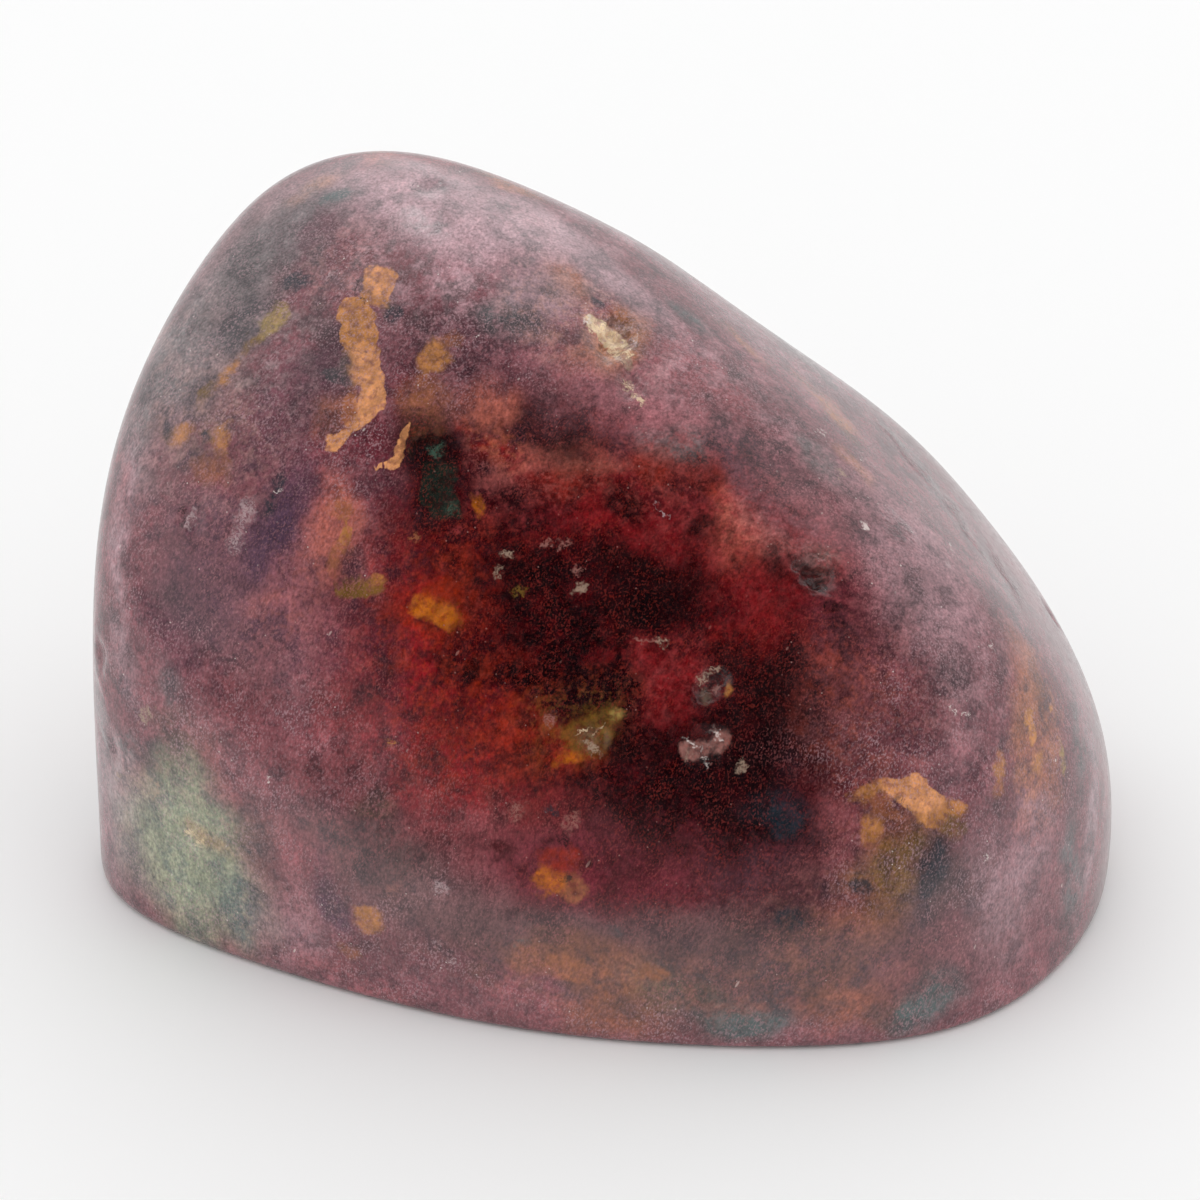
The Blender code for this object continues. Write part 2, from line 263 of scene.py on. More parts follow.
# The paler mineral that is mottled into each part of the ground, in the same form
LIGHT_MOTTLES = {
    "left_top": (230, 330, 26, 18, 60, "pale_slate", 0.8),
    "left_ochres": (215, 430, 9, 12, 50, "rust", 0.35),
    "crown": (440, 230, 30, 14, -20, "pale_lilac", 0.9),
    "crown_warm": (330, 260, 8, 8, 0, "salmon", 0.4),
    "slope": (680, 360, 36, 10, -33, "pale_lilac", 0.8),
    "slope_warm": (590, 320, 12, 8, -40, "peach", 0.4),
    "shoulder": (925, 570, 24, 13, -50, "pale_lilac", 0.6),
    "heart": (620, 640, 40, 33, 15, "crimson", 1.0),
    "heart_left": (440, 650, 12, 24, 0, "ember", 0.95),
    "heart_low_left": (520, 760, 18, 9, -10, "ember", 0.7),
    "heart_olive": (595, 735, 9, 7, 0, "olive", 0.8),
    "heart_top": (590, 470, 20, 6, -10, "salmon", 0.5),
    "heart_top_left": (490, 430, 6, 5, 0, "amber", 0.4),
    "heart_right": (800, 700, 16, 14, -40, "ember", 0.5),
    "heart_far_right": (860, 720, 12, 14, -40, "rust", 0.35),
    "heart_pit": (680, 700, 8, 10, 0, "rose_red", 0.9),
    "heart_right_top": (725, 530, 14, 9, -35, "rose_red", 0.8),
    "moss": (185, 860, 14, 16, -20, "pale_moss", 0.95),
    "right_edge": (1040, 730, 8, 14, 5, "ochre", 0.6),
    "heart_low": (720, 820, 24, 10, -5, "wine_rose", 0.95),
    "green_black_blob": (437, 470, 6.5, 12, 0, "ink", 1.0),
    "low_band": (640, 940, 60, 15, -3, "mauve_grey", 0.85),
    "foot": (640, 985, 30, 7, -3, "rust", 0.4),
    "foot_right": (840, 960, 13, 11, -10, "rust", 0.45),
    "low": (620, 865, 26, 7, 0, "wine_rose", 0.7),
    "olive_right": (900, 870, 8, 10, -15, "rust", 0.6),
    "heart_black": (555, 600, 12, 10, -10, "wine", 0.8),
    "heart_black_right": (655, 600, 8, 7, 20, "ink", 0.9),
    "heart_black_low": (665, 775, 14, 9, 0, "wine", 0.8),
    "heart_black_foot": (750, 770, 13, 10, 0, "wine", 0.85),
    "heart_black_far": (772, 675, 8, 11, 0, "wine", 0.8),
    "left_violet": (278, 538, 5, 11, -30, "violet", 0.9),
    "left_grey": (205, 595, 12, 10, 70, "plum", 0.85),
    "left_salmon": (330, 530, 4, 8, 0, "salmon", 0.6),
    "left_band": (295, 590, 13, 4.5, 48, "salmon", 0.5),
    # painted shade: crown_dark darkens the same band as the painted shadow crown_shadow
    "crown_dark": (290, 232, 12, 8, 45, "slate", 0.8),
    "low_right": (930, 895, 13, 10, 0, "mauve_grey", 0.85),
    "ember_top": (480, 412, 5, 4, 0, "salmon", 0.8),
    "dark_plum_top": (540, 412, 10, 6, -25, "wine", 0.9),
    "moss_edge": (240, 830, 6, 8, 0, "dusk_rose", 0.6),
    "low_again": (600, 885, 14, 5, 0, "wine_rose", 0.8),
    "left_of_vein": (328, 352, 5, 5, 0, "dark_plum", 0.8),
}

# The darker mineral that is mottled into each part of the ground, in the same form
DARK_MOTTLES = {
    "left_top": (230, 330, 26, 18, 60, "dark_slate", 0.8),
    "crown": (440, 230, 30, 14, -20, "slate", 0.5),
    "slope": (680, 380, 36, 12, -33, "dark_slate", 0.5),
    "heart": (620, 640, 44, 37, 15, "ink", 1.0),
    "heart_low": (640, 810, 30, 10, -5, "ink", 0.9),
    "left": (250, 560, 18, 22, 40, "violet", 0.5),
    "low_left": (370, 850, 18, 10, 0, "dark_slate", 0.5),
    "moss": (185, 860, 14, 16, -20, "teal", 0.9),
    # painted shade: the broad darkening along the foot
    "foot": (700, 995, 40, 8, -3, "dark_slate", 0.7),
    "right_low": (900, 880, 16, 14, -10, "blue_black", 0.5),
    "low": (620, 880, 30, 7, 0, "wine", 0.7),
    "right": (960, 780, 18, 16, -30, "dark_plum", 0.6),
}

# Where the skin stays clear of the pale powder, with its painted sheen, that dulls the rest, so that the front stays
# dark:
# pixel, length, width, turn and how much of the powder is gone
CLEAR_PLACES = {
    "heart": (600, 630, 42, 36, 15, 1.0),
    "heart_low": (690, 800, 26, 10, -8, 0.9),
    "heart_top": (560, 440, 14, 8, -20, 0.6),
    "heart_right": (790, 640, 16, 16, -30, 0.6),
    "low_right": (780, 860, 12, 8, 0, 0.6),
    "heart_left": (430, 560, 8, 24, 0, 0.9),
    "low": (620, 880, 26, 8, -3, 0.8),
    "low_band": (700, 955, 50, 12, -3, 0.6),
    "low_left": (370, 835, 14, 8, 0, 0.6),
    "left": (240, 560, 16, 22, 40, 0.4),
    "green_black_blob": (437, 470, 6.5, 11, 0, 1.0),
}

# Marks with an edge: pixel, length, width, turn, pigment, and how far the edge blurs, in millimetres
PATCHES = {
    "vein_top": (380, 284, 3.0, 2.6, 60, "peach", 0.12),
    "vein_top_low": (372, 299, 2.0, 1.6, 0, "ochre", 0.15),
    "vein_bulge": (356, 316, 2.9, 3.6, 10, "ochre", 0.08),
    "vein_bulge_low": (361, 335, 3.2, 3.2, 0, "ochre", 0.08),
    "vein_neck": (364, 362, 2.7, 3.4, 20, "peach", 0.08),
    "vein_neck_low": (374, 380, 1.8, 2.2, 0, "peach", 0.08),
    "vein_low": (374, 397, 2.4, 2.6, 0, "peach", 0.08),
    "vein_arm": (362, 418, 3.4, 1.3, 38, "peach", 0.08),
    "vein_tail": (345, 434, 2.8, 1.1, 42, "peach", 0.1),
    "vein_foot": (334, 446, 1.8, 0.7, 50, "peach", 0.1),
    "vein_inner": (349, 406, 1.4, 2.6, -10, "rust", 0.2),
    "branch_top": (404, 436, 2.2, 0.6, 62, "peach", 0.06),
    "branch_middle": (398, 452, 1.4, 0.7, 80, "peach", 0.06),
    "branch_foot": (388, 466, 2.4, 0.8, 25, "peach", 0.06),
    "olive_streak": (274, 322, 4.2, 1.6, 48, "ochre_olive", 0.45),
    "olive_streak_low": (254, 341, 1.8, 1.2, 30, "olive", 0.3),
    "upper_ochre": (226, 375, 2.2, 1.0, 50, "ochre", 0.35),
    "upper_ochre_low": (206, 392, 1.8, 0.8, 50, "olive", 0.35),
    "left_ochre": (181, 433, 2.4, 1.6, 20, "ochre", 0.45),
    "left_ochre_right": (221, 438, 1.5, 2.8, 0, "ochre", 0.4),
    "left_ochre_low": (211, 472, 3.0, 2.2, -20, "rust", 0.6),
    "slope_vein": (434, 356, 2.0, 3.0, -15, "ochre", 0.35),
    "slope_vein_low": (422, 392, 1.4, 2.0, 0, "rust", 0.4),
    "slope_vein_top": (448, 340, 1.6, 1.0, 30, "rust", 0.4),
    "ring_top": (340, 507, 1.8, 1.6, 20, "rust", 0.35),
    "ring_knob": (345, 536, 1.0, 1.7, 10, "ochre", 0.12),
    "ring_left": (335, 560, 1.0, 3.0, 0, "rust", 0.35),
    "ring_foot": (358, 590, 4.6, 1.4, 15, "olive", 0.25),
    "ring_foot_right": (374, 583, 2.0, 1.2, 30, "ochre", 0.25),
    "ring_inside": (352, 558, 2.6, 1.6, 20, "dark_plum", 0.35),
    "ring_inside_low": (346, 574, 2.0, 1.4, 20, "dark_plum", 0.35),
    "amber_patch": (425, 609, 3.0, 2.0, -10, "amber", 0.35),
    "amber_patch_right": (447, 618, 1.6, 1.5, 0, "amber", 0.3),
    "amber_halo": (446, 590, 2.6, 2.0, 0, "ember", 0.6),
    "gold_speck": (479, 507, 0.9, 1.3, 20, "amber", 0.35),
    "olive_patch": (590, 738, 4.6, 3.6, 30, "olive", 0.6),
    "olive_patch_top": (614, 716, 1.0, 0.7, 30, "ochre_olive", 0.35),
    "olive_patch_low": (577, 757, 3.0, 1.2, 20, "amber", 0.45),
    "rust_by_pit": (728, 689, 0.6, 1.1, -20, "ochre", 0.3),
    "pit_grey": (706, 702, 0.8, 0.9, 0, "olive_grey", 0.3),
    "pitted_patch": (697, 750, 2.2, 1.5, 10, "dusty_pink", 0.25),
    "pitted_patch_right": (719, 740, 1.2, 1.5, 0, "dusty_pink", 0.25),
    "low_amber": (552, 881, 2.8, 2.2, -10, "amber", 0.3),
    "low_amber_right": (574, 888, 2.2, 2.4, 0, "rust", 0.25),
    "low_amber_top": (560, 860, 3.0, 2.0, 0, "ember", 0.45),
    "low_left_amber": (365, 918, 2.6, 2.8, 0, "ochre", 0.4),
    "low_left_amber_foot": (349, 952, 1.6, 1.4, 0, "rust", 0.5),
    "right_ochre": (922, 800, 4.6, 2.6, -25, "peach", 0.1),
    "right_ochre_top": (912, 784, 3.0, 1.6, 5, "peach", 0.12),
    "right_ochre_low": (932, 818, 3.0, 2.2, -20, "ochre", 0.2),
    "right_ochre_end": (953, 806, 2.4, 1.2, -20, "ochre", 0.2),
    "right_olive": (952, 826, 2.4, 2.4, 0, "olive", 0.5),
    "right_ochre_left": (868, 790, 2.2, 1.4, 20, "ochre", 0.4),
    "right_ochre_left_low": (870, 830, 1.6, 2.4, -35, "ochre", 0.35),
    "right_ochre_dot": (880, 808, 2.2, 1.4, -30, "rust", 0.4),
    "edge_ochre": (1029, 716, 1.4, 1.4, 0, "ochre", 0.1),
    "edge_ochre_small": (1051, 709, 0.9, 0.9, 0, "ochre", 0.12),
    "edge_ochre_stem": (1032, 738, 0.8, 1.8, 5, "ochre", 0.15),
    "edge_ochre_low": (1038, 762, 1.4, 1.8, 0, "ochre", 0.25),
    "edge_olive": (1063, 758, 0.9, 2.6, 8, "ochre_olive", 0.3),
    "edge_rust": (999, 768, 1.5, 2.2, 5, "ochre", 0.3),
    "edge_rust_low": (998, 789, 1.2, 1.4, 0, "rust", 0.3),
    "foot_ochre": (651, 972, 2.4, 1.2, 0, "rust", 0.4),
    "foot_ochre_left": (566, 961, 2.0, 1.2, 0, "rust", 0.5),
    "teal_by_vein": (393, 314, 2.3, 1.9, 10, "blue_black", 0.25),
    "vein_left_shadow": (338, 377, 3.2, 1.0, -18, "dark_slate", 0.2),
    "vein_left_shadow_top": (349, 362, 1.2, 1.8, 0, "dark_slate", 0.25),
    "upper_blue": (299, 281, 2.5, 2.0, 10, "blue_black", 0.3),
    "left_teal_dot": (169, 434, 1.0, 1.6, 0, "blue_black", 0.3),
    "left_ochre_dot": (208, 436, 0.8, 1.3, 0, "blue_black", 0.2),
    "violet_band_top": (281, 482, 1.4, 1.2, 0, "blue_black", 0.3),
    "violet_band_dark": (270, 506, 2.0, 1.3, 35, "blue_black", 0.35),
    "heart_left_dark": (471, 672, 1.3, 2.8, -20, "ink", 0.3),
    "ember_notch": (456, 632, 0.9, 2.4, 0, "wine", 0.3),
    "shoulder_pit_fissure": (815, 585, 2.8, 1.0, -35, "ink", 0.15),
    "shoulder_pit_side": (806, 575, 2.6, 1.6, -50, "ink", 0.5),
    "shoulder_dot": (833, 606, 1.2, 1.0, 0, "ink", 0.3),
    "blue_spot_right": (783, 822, 3.4, 2.6, -20, "blue_black", 0.4),
    "low_dark_right": (585, 862, 1.2, 1.0, 0, "ink", 0.3),
    "low_dark_left": (502, 848, 1.8, 0.8, -10, "wine", 0.3),
    "low_left_dark": (276, 771, 1.8, 1.4, 0, "dark_plum", 0.35),
    "teal_dot_right": (940, 850, 1.6, 2.0, 20, "blue_black", 0.4),
    "dot_right": (860, 888, 1.2, 1.0, 0, "blue_black", 0.3),
    "teal_dot_low": (522, 944, 1.0, 0.9, 0, "teal", 0.3),
    "dark_top": (616, 931, 1.6, 1.2, 0, "dark_slate", 0.4),
    "shoulder_violet_dark": (695, 527, 1.8, 1.5, 0, "ink", 0.4),
    "vug_crumbs": (604, 334, 4.2, 1.8, -40, "cream", 0.12),
    "vug_crumbs_low": (622, 356, 2.4, 1.2, -60, "dusty_cream", 0.2),
    "fissure_by_vug": (597, 302, 1.4, 0.8, -40, "blue_black", 0.25),
    "dark_by_vug": (574, 340, 2.4, 1.6, -30, "dark_plum", 0.5),
    "olive_streak_dark": (245, 322, 1.2, 4.4, -30, "dark_slate", 0.4),
    "crown_plum_spot": (322, 226, 4.5, 3.0, 20, "plum", 0.5),
    "crown_teal_spot": (336, 196, 2.6, 1.4, 10, "teal", 0.35),
    "green_black_blob_top": (434, 450, 4.0, 3.2, 0, "ink", 0.2),
    "green_black_blob": (440, 480, 3.2, 4.2, -10, "green_black", 0.2),
    "green_black_blob_low": (447, 507, 2.2, 2.0, 0, "green_black", 0.25),
    "blue_spot_left": (762, 828, 2.0, 1.6, 0, "ink", 0.4),
    "heart_top_spot": (622, 506, 2.6, 1.8, 0, "ink", 0.4),
    "heart_right_spot": (658, 606, 3.6, 3.2, 20, "ink", 0.5),
    "heart_low_spot": (752, 770, 4.0, 3.0, 0, "ink", 0.5),
    "teal_spot_right": (932, 872, 3.0, 3.4, 20, "blue_black", 0.45),
    "foot_teal_spot": (738, 1026, 5.6, 2.2, 0, "teal", 0.5),
    "foot_teal_spot_right": (925, 1005, 4.8, 2.4, 8, "teal", 0.5),
    "foot_green_spot": (790, 918, 3.0, 2.0, 0, "blue_black", 0.5),
}

# Small crumbs, dots and cracks, and glints and sparkles of light painted on the polish, in the same form.
# Each is drawn on its own, turned by the nearest step in degrees.
BIT_TURN_STEP = 15
BITS = {
    "green_speck_top": (436, 451, 1.3, 1.0, 10, "green_crumb", 0.35),
    "green_speck_low": (451, 509, 0.9, 0.7, 0, "green_crumb", 0.3),
    "vein_cleft": (358, 286, 2.4, 0.3, 75, "ink", 0.1),
    "vein_cleft_low": (363, 300, 0.9, 0.24, -50, "ink", 0.08),
    "vein_curve": (366, 352, 1.6, 0.14, -12, "umber", 0.06),
    "ringed_pit_pale": (191, 520, 1.7, 0.9, 60, "dusty_lilac", 0.12),
    "ringed_pit_line": (182, 518, 1.9, 0.3, 72, "ink", 0.1),
    "left_pale": (246, 513, 2.4, 1.4, 60, "dusty_lilac", 0.45),
    "left_pale_low": (236, 541, 2.0, 1.1, 70, "dusty_lilac", 0.4),
    "tick_upper": (276, 492, 0.8, 0.18, 35, "bone", 0.06),
    "vein_glint": (330, 275, 1.0, 0.3, 40, "dusty_lilac", 0.15),
    "vug_heart": (598, 329, 1.8, 0.9, -35, "cream", 0.1),
    "vug_right": (613, 348, 1.9, 1.0, -60, "cream", 0.1),
    "vug_edge": (629, 353, 1.2, 0.7, -30, "cream", 0.08),
    "vug_top": (589, 319, 0.9, 0.5, 0, "bone", 0.08),
    "vug_trail": (628, 386, 1.0, 0.8, -40, "cream", 0.1),
    "vug_trail_low": (640, 399, 1.4, 0.5, -35, "cream", 0.08),
    "vug_crack": (622, 362, 1.6, 0.2, -65, "umber", 0.06),
    "vug_crack_top": (604, 318, 1.2, 0.2, -30, "umber", 0.06),
    "heart_bar": (650, 641, 2.6, 0.4, 0, "dusty_pink", 0.12),
    "heart_bar_end": (661, 642, 0.9, 0.7, 0, "dusty_cream", 0.1),
    "heart_crumb": (547, 544, 1.0, 0.8, 30, "dusty_pink", 0.1),
    "heart_crumb_right": (565, 544, 0.8, 0.6, 20, "dusty_pink", 0.15),
    "heart_dash": (507, 555, 1.3, 0.6, 0, "dusty_cream", 0.12),
    "heart_dot": (498, 573, 0.9, 0.5, 80, "dusty_cream", 0.12),
    "heart_right_crumb": (579, 572, 0.9, 0.7, 0, "dusty_pink", 0.1),
    "heart_right_dash": (580, 589, 1.2, 0.6, 10, "dusty_cream", 0.15),
    "heart_olive_crumb": (518, 592, 1.2, 0.8, 20, "olive", 0.15),
    "heart_left_crumb": (417, 538, 0.9, 0.7, 0, "rust", 0.2),
    "heart_red_crumb": (456, 531, 1.0, 0.8, 0, "rose_red", 0.25),
    "heart_scratch": (663, 514, 1.7, 0.16, -52, "dusty_lilac", 0.06),
    "pit_wall_left": (702, 680, 1.4, 0.9, 45, "dusty_cream", 0.12),
    "pit_wall_top": (713, 671, 1.2, 0.4, 10, "dusty_cream", 0.1),
    "pit_wall_low": (714, 692, 0.8, 0.3, 30, "dusty_pink", 0.1),
    "pit_fissure": (714, 682, 2.4, 0.7, 42, "ink", 0.08),
    "pitted_curl": (693, 745, 1.4, 0.3, -30, "bone", 0.08),
    "pitted_curl_low": (689, 756, 1.1, 0.3, 60, "dusty_cream", 0.08),
    "pitted_right": (717, 735, 1.0, 0.5, -40, "bone", 0.1),
    "pitted_edge": (705, 762, 0.8, 0.3, -60, "bone", 0.08),
    "pitted_far": (740, 768, 0.9, 0.7, 60, "dusty_cream", 0.1),
    "pitted_hole": (703, 750, 0.8, 0.4, 20, "wine", 0.1),
    "olive_curl_top": (583, 733, 1.1, 0.16, 20, "cream", 0.05),
    "olive_curl_side": (599, 731, 1.2, 0.2, 45, "cream", 0.06),
    "olive_crumb": (592, 748, 1.9, 0.8, -50, "dusty_cream", 0.12),
    "olive_crumb_left": (550, 720, 1.1, 0.9, 60, "dusty_pink", 0.2),
    "low_pale": (516, 812, 1.6, 1.2, 60, "dusty_pink", 0.4),
    "low_pale_right": (572, 822, 1.6, 1.0, 60, "dusty_pink", 0.35),
    "low_green_dot": (553, 810, 0.9, 0.8, 0, "blue_black", 0.15),
    "round_black": (566, 840, 1.3, 1.2, 0, "ink", 0.15),
    "amber_dot": (567, 879, 0.8, 0.8, 0, "green_black", 0.1),
    "pale_ring": (441, 888, 1.4, 1.3, 0, "dusty_lilac", 0.2),
    "low_grain": (453, 963, 1.1, 0.5, -25, "dusty_lilac", 0.1),
    "low_grain_left": (438, 945, 0.8, 0.4, -25, "dusty_lilac", 0.1),
    "left_crumb": (146, 714, 2.0, 1.2, 70, "dusty_cream", 0.2),
    "left_flake": (156, 789, 2.4, 0.9, 75, "dusty_cream", 0.2),
    "foot_cream": (190, 832, 1.2, 0.6, 20, "cream", 0.2),
    "foot_cream_right": (198, 842, 1.0, 0.7, 0, "cream", 0.2),
    "foot_white": (119, 776, 0.9, 0.7, 0, "dusty_cream", 0.15),
    "foot_crack": (140, 868, 1.9, 0.14, -42, "dark_slate", 0.06),
    "foot_crack_right": (156, 879, 1.9, 0.14, -32, "dark_slate", 0.06),
    "low_left_glint": (269, 779, 0.6, 0.24, 50, "bone", 0.06),
    "low_left_pink": (393, 890, 1.2, 0.8, 10, "dusty_pink", 0.25),
    "small_orange": (391, 744, 0.8, 0.6, 0, "ochre", 0.12),
    "ochre_crack": (908, 808, 2.6, 0.18, -60, "umber", 0.06),
    "ochre_dot": (897, 800, 0.6, 0.5, 0, "umber", 0.12),
    "slope_crumb": (821, 433, 1.3, 0.6, -28, "bone", 0.12),
    "slope_grain": (842, 474, 1.0, 0.6, -40, "dusty_cream", 0.15),
    "slope_glint": (866, 527, 1.1, 0.6, -55, "bone", 0.12),
    "shoulder_tick": (864, 458, 1.0, 0.16, -60, "bone", 0.05),
    "shoulder_curl": (909, 528, 1.4, 0.22, -25, "bone", 0.08),
    "shoulder_pale": (949, 565, 1.0, 0.6, -40, "dusty_lilac", 0.2),
    "shoulder_stroke": (951, 547, 0.9, 0.18, -55, "bone", 0.06),
    "stroke_far": (992, 645, 1.0, 0.16, -60, "bone", 0.06),
    "sparkle_left": (952, 710, 0.9, 0.24, -40, "bone", 0.06),
    "sparkle_right": (966, 714, 0.8, 0.3, 40, "bone", 0.06),
    "rose_sparkle": (988, 858, 0.5, 0.4, 0, "bone", 0.08),
    "crest_pit": (415, 187, 0.9, 0.24, -20, "dark_slate", 0.08),
    "crest_pit_right": (440, 186, 1.0, 0.24, -25, "dark_slate", 0.08),
    "flank_pit_top": (97, 646, 0.8, 0.4, 80, "ink", 0.1),
    "flank_pit": (98, 675, 0.9, 0.4, 80, "ink", 0.1),
    "flank_pit_low": (106, 692, 0.9, 0.4, 60, "ink", 0.1),
}

# Pits that the polish left open: pixel, width in millimetres, and how rough the broken floor is
OPEN_PITS = {
    "cream_vug": (610, 340, 5.0, 0.5),
    "vug_trail": (632, 388, 3.4, 0.3),
    "shoulder_pit": (811, 579, 3.8, 0.4),
    "front_pit": (711, 682, 3.2, 0.4),
    "pitted_patch": (704, 748, 3.6, 0.2),
    "olive_pits": (590, 742, 3.0, 0.12),
    "ringed_pit": (190, 521, 2.6, 0.2),
    "left_crumbs": (158, 765, 2.6, 0.25),
}

# Bands of fine ripples that the polishing wheel left: pixel, length, width and turn
RIPPLES = {
    "shoulder_top": (912, 462, 9, 2.4, -42),
    "shoulder_middle": (960, 520, 8, 2.6, -50),
    "shoulder_low": (1005, 575, 9, 2.2, -58),
    "slope": (900, 530, 6, 3.0, -45),
    "foot_left": (215, 925, 6, 3.0, -35),
}

# The unseen back and sides carry the same kinds of marks, scattered: pigment, how many, the length
# in millimetres and the amount
HIDDEN_SEED = 41
HIDDEN_CLOUDS = (
    ("rose", 16, 14, 0.55),
    ("plum", 14, 8, 0.7),
    ("violet", 8, 6, 0.7),
    ("wine_rose", 14, 13, 0.8),
    ("crimson", 8, 9, 0.5),
    ("wine", 7, 13, 0.85),
    ("salmon", 8, 5, 0.5),
    ("umber", 9, 9, 0.6),
    ("slate", 9, 12, 0.7),
    ("moss", 4, 12, 0.8),
    ("teal", 7, 7, 0.7),
    ("rust", 14, 6, 0.65),
    ("lilac", 8, 10, 0.4),
    ("ink", 10, 6, 0.8),
)
HIDDEN_LIGHT_MOTTLES = (
    ("pale_lilac", 12, 20, 0.8),
    ("rust", 8, 10, 0.6),
    ("rose_red", 7, 12, 0.7),
    ("pale_moss", 3, 14, 0.8),
)
HIDDEN_DARK_MOTTLES = (("dark_slate", 10, 20, 0.7), ("ink", 6, 14, 0.7), ("violet", 6, 14, 0.5))

# The same for the marks with an edge: pigment, how many, and the blur in millimetres
HIDDEN_PATCHES = (
    ("ochre", 8, 0.45),
    ("peach", 5, 0.15),
    ("rust", 12, 0.6),
    ("olive", 8, 0.6),
    ("amber", 3, 0.4),
    ("ink", 16, 0.45),
    ("blue_black", 14, 0.45),
    ("dusty_cream", 5, 0.3),
)


def pigment(name, description, colour):
    return FloatVectorProperty(
        name=name, description=description, default=colour, size=3, min=0, max=1, subtype="COLOR"
    )


def length(name, description, default):
    return FloatProperty(
        name=name,
        description=description,
        default=default,
        min=0,
        precision=4,
        subtype="DISTANCE",
        unit="LENGTH",
    )


def share(name, description, default):
    return FloatProperty(
        name=name, description=description, default=default, min=0, max=1, subtype="FACTOR"
    )


def angle(name, description, degrees):
    return FloatProperty(
        name=name, description=description, default=math.radians(degrees), subtype="ANGLE"
    )


class RhodonitePigments(bpy.types.PropertyGroup):
    """The colours of the minerals in the stone"""

    mauve: pigment("Mauve", "The common ground of the stone", (0.17, 0.05, 0.062))
    mauve_grey: pigment("Mauve grey", "Greyed ground towards the foot", (0.12, 0.055, 0.055))
    rose: pigment("Rose", "Purer rhodonite", (0.27, 0.075, 0.085))
    lilac: pigment("Lilac", "Pale ground on the crown", (0.44, 0.3, 0.33))
    plum: pigment("Plum", "Dark purple ground", (0.11, 0.045, 0.06))
    dark_plum: pigment("Dark plum", "Darker purple ground", (0.045, 0.016, 0.024))
    violet: pigment("Violet", "Blue-purple ground", (0.06, 0.028, 0.055))
    magenta: pigment("Magenta", "Clear purple-red", (0.15, 0.012, 0.03))
    rose_red: pigment("Rose red", "Clear pink-red", (0.26, 0.028, 0.03))
    wine_rose: pigment("Wine rose", "Deep red ground", (0.11, 0.009, 0.018))
    wine: pigment("Wine", "Near-black red in the heart", (0.042, 0.0, 0.002))
    crimson: pigment("Crimson", "Clear deep red", (0.21, 0.003, 0.006))
    ember: pigment("Ember", "Glowing red-orange", (0.3, 0.02, 0.002))
    amber: pigment("Amber", "Bright orange", (0.5, 0.13, 0.003))
    rust: pigment("Rust", "Soft brown-orange", (0.3, 0.1, 0.04))
    ochre: pigment("Ochre", "Yellow-orange", (0.47, 0.19, 0.045))
    peach: pigment("Peach", "Pale orange of the veins", (0.66, 0.28, 0.105))
    salmon: pigment("Salmon", "Pale pink-orange", (0.42, 0.11, 0.075))
    umber: pigment("Umber", "Brown-purple", (0.11, 0.06, 0.06))
    dark_umber: pigment("Dark umber", "Dark red-brown", (0.05, 0.01, 0.008))
    olive: pigment("Olive", "Yellow-green brown", (0.17, 0.09, 0.012))
    ochre_olive: pigment("Ochre olive", "Dull yellow", (0.36, 0.24, 0.06))
    olive_grey: pigment("Olive grey", "Greyed olive", (0.11, 0.075, 0.05))
    moss: pigment("Moss", "Grey-green", (0.23, 0.26, 0.17))
    pale_moss: pigment("Pale moss", "Light grey-green", (0.4, 0.42, 0.28))
    teal: pigment("Teal", "Grey blue-green", (0.075, 0.11, 0.11))
    slate: pigment("Slate", "Grey", (0.17, 0.16, 0.16))
    pale_slate: pigment("Pale slate", "Light grey", (0.3, 0.24, 0.24))
    dark_slate: pigment("Dark slate", "Dark grey", (0.05, 0.045, 0.05))
    blue_black: pigment("Blue black", "Oxide with a blue cast", (0.012, 0.022, 0.032))
    ink: pigment("Ink", "Black manganese oxide", (0.004, 0.0, 0.001))
    green_black: pigment("Green black", "Oxide with a green cast", (0.008, 0.02, 0.014))
    green_crumb: pigment("Green crumb", "Pale green grains", (0.05, 0.1, 0.07))
    # pale_lilac also colours the painted sheen of the powder
    pale_lilac: pigment("Pale lilac", "Powdery pink grains", (0.46, 0.28, 0.31))
    dusk_rose: pigment("Dusk rose", "Paler mineral in the common ground", (0.3, 0.105, 0.12))
    spark: pigment("Spark", "Fine grains in the dark heart", (0.4, 0.035, 0.02))
    dusty_pink: pigment("Dusty pink", "Dull pink crumbs", (0.3, 0.12, 0.1))
    dusty_cream: pigment("Dusty cream", "Dull pale crumbs", (0.36, 0.25, 0.18))
    # dusty_lilac also paints the glint on the vein
    dusty_lilac: pigment("Dusty lilac", "Pale grey-pink crumbs", (0.42, 0.3, 0.31))
    cream: pigment("Cream", "Pale crumbs", (0.78, 0.6, 0.38))
    # bone also paints highlights: the glints and sparkles among the bits, and the glints of the pale grains
    bone: pigment("Bone", "White crumbs", (0.74, 0.64, 0.6))


class RhodoniteSkin(bpy.types.PropertyGroup):
    """The finish of the stone"""

    roughness: share("Roughness", "Roughness of the polished skin", 0.17)
    refraction: FloatProperty(
        name="Refraction", description="Index of refraction", default=1.6, min=1, max=3
    )
    smoothing: IntProperty(
        name="Smoothing", description="Subdivision levels of the skin", default=2, min=0, max=3
    )
    warp: length("Warp", "How far clouds of colour stray from an even oval", 1.0 * MM)
    soft_edge: share("Soft edge", "Share of a cloud's radius over which it fades", 0.55)
    blotch: length("Blotch", "Size of the large blotches of mottling", 2.4 * MM)
    grain: length("Grain", "Size of the finest mineral grain", 0.22 * MM)
    streak: length("Streak", "Width of the fine streaks", 0.2 * MM)
    light_mottling: share("Light mottling", "How strongly the paler mineral shows", 0.55)
    dark_mottling: share("Dark mottling", "How strongly the darker mineral shows", 0.62)
    # the pale powder is partly a real fine grain and partly painted sheen, the haze of the reflection
    powder: share("Powder", "How strongly pale grains dull the skin", 0.52)


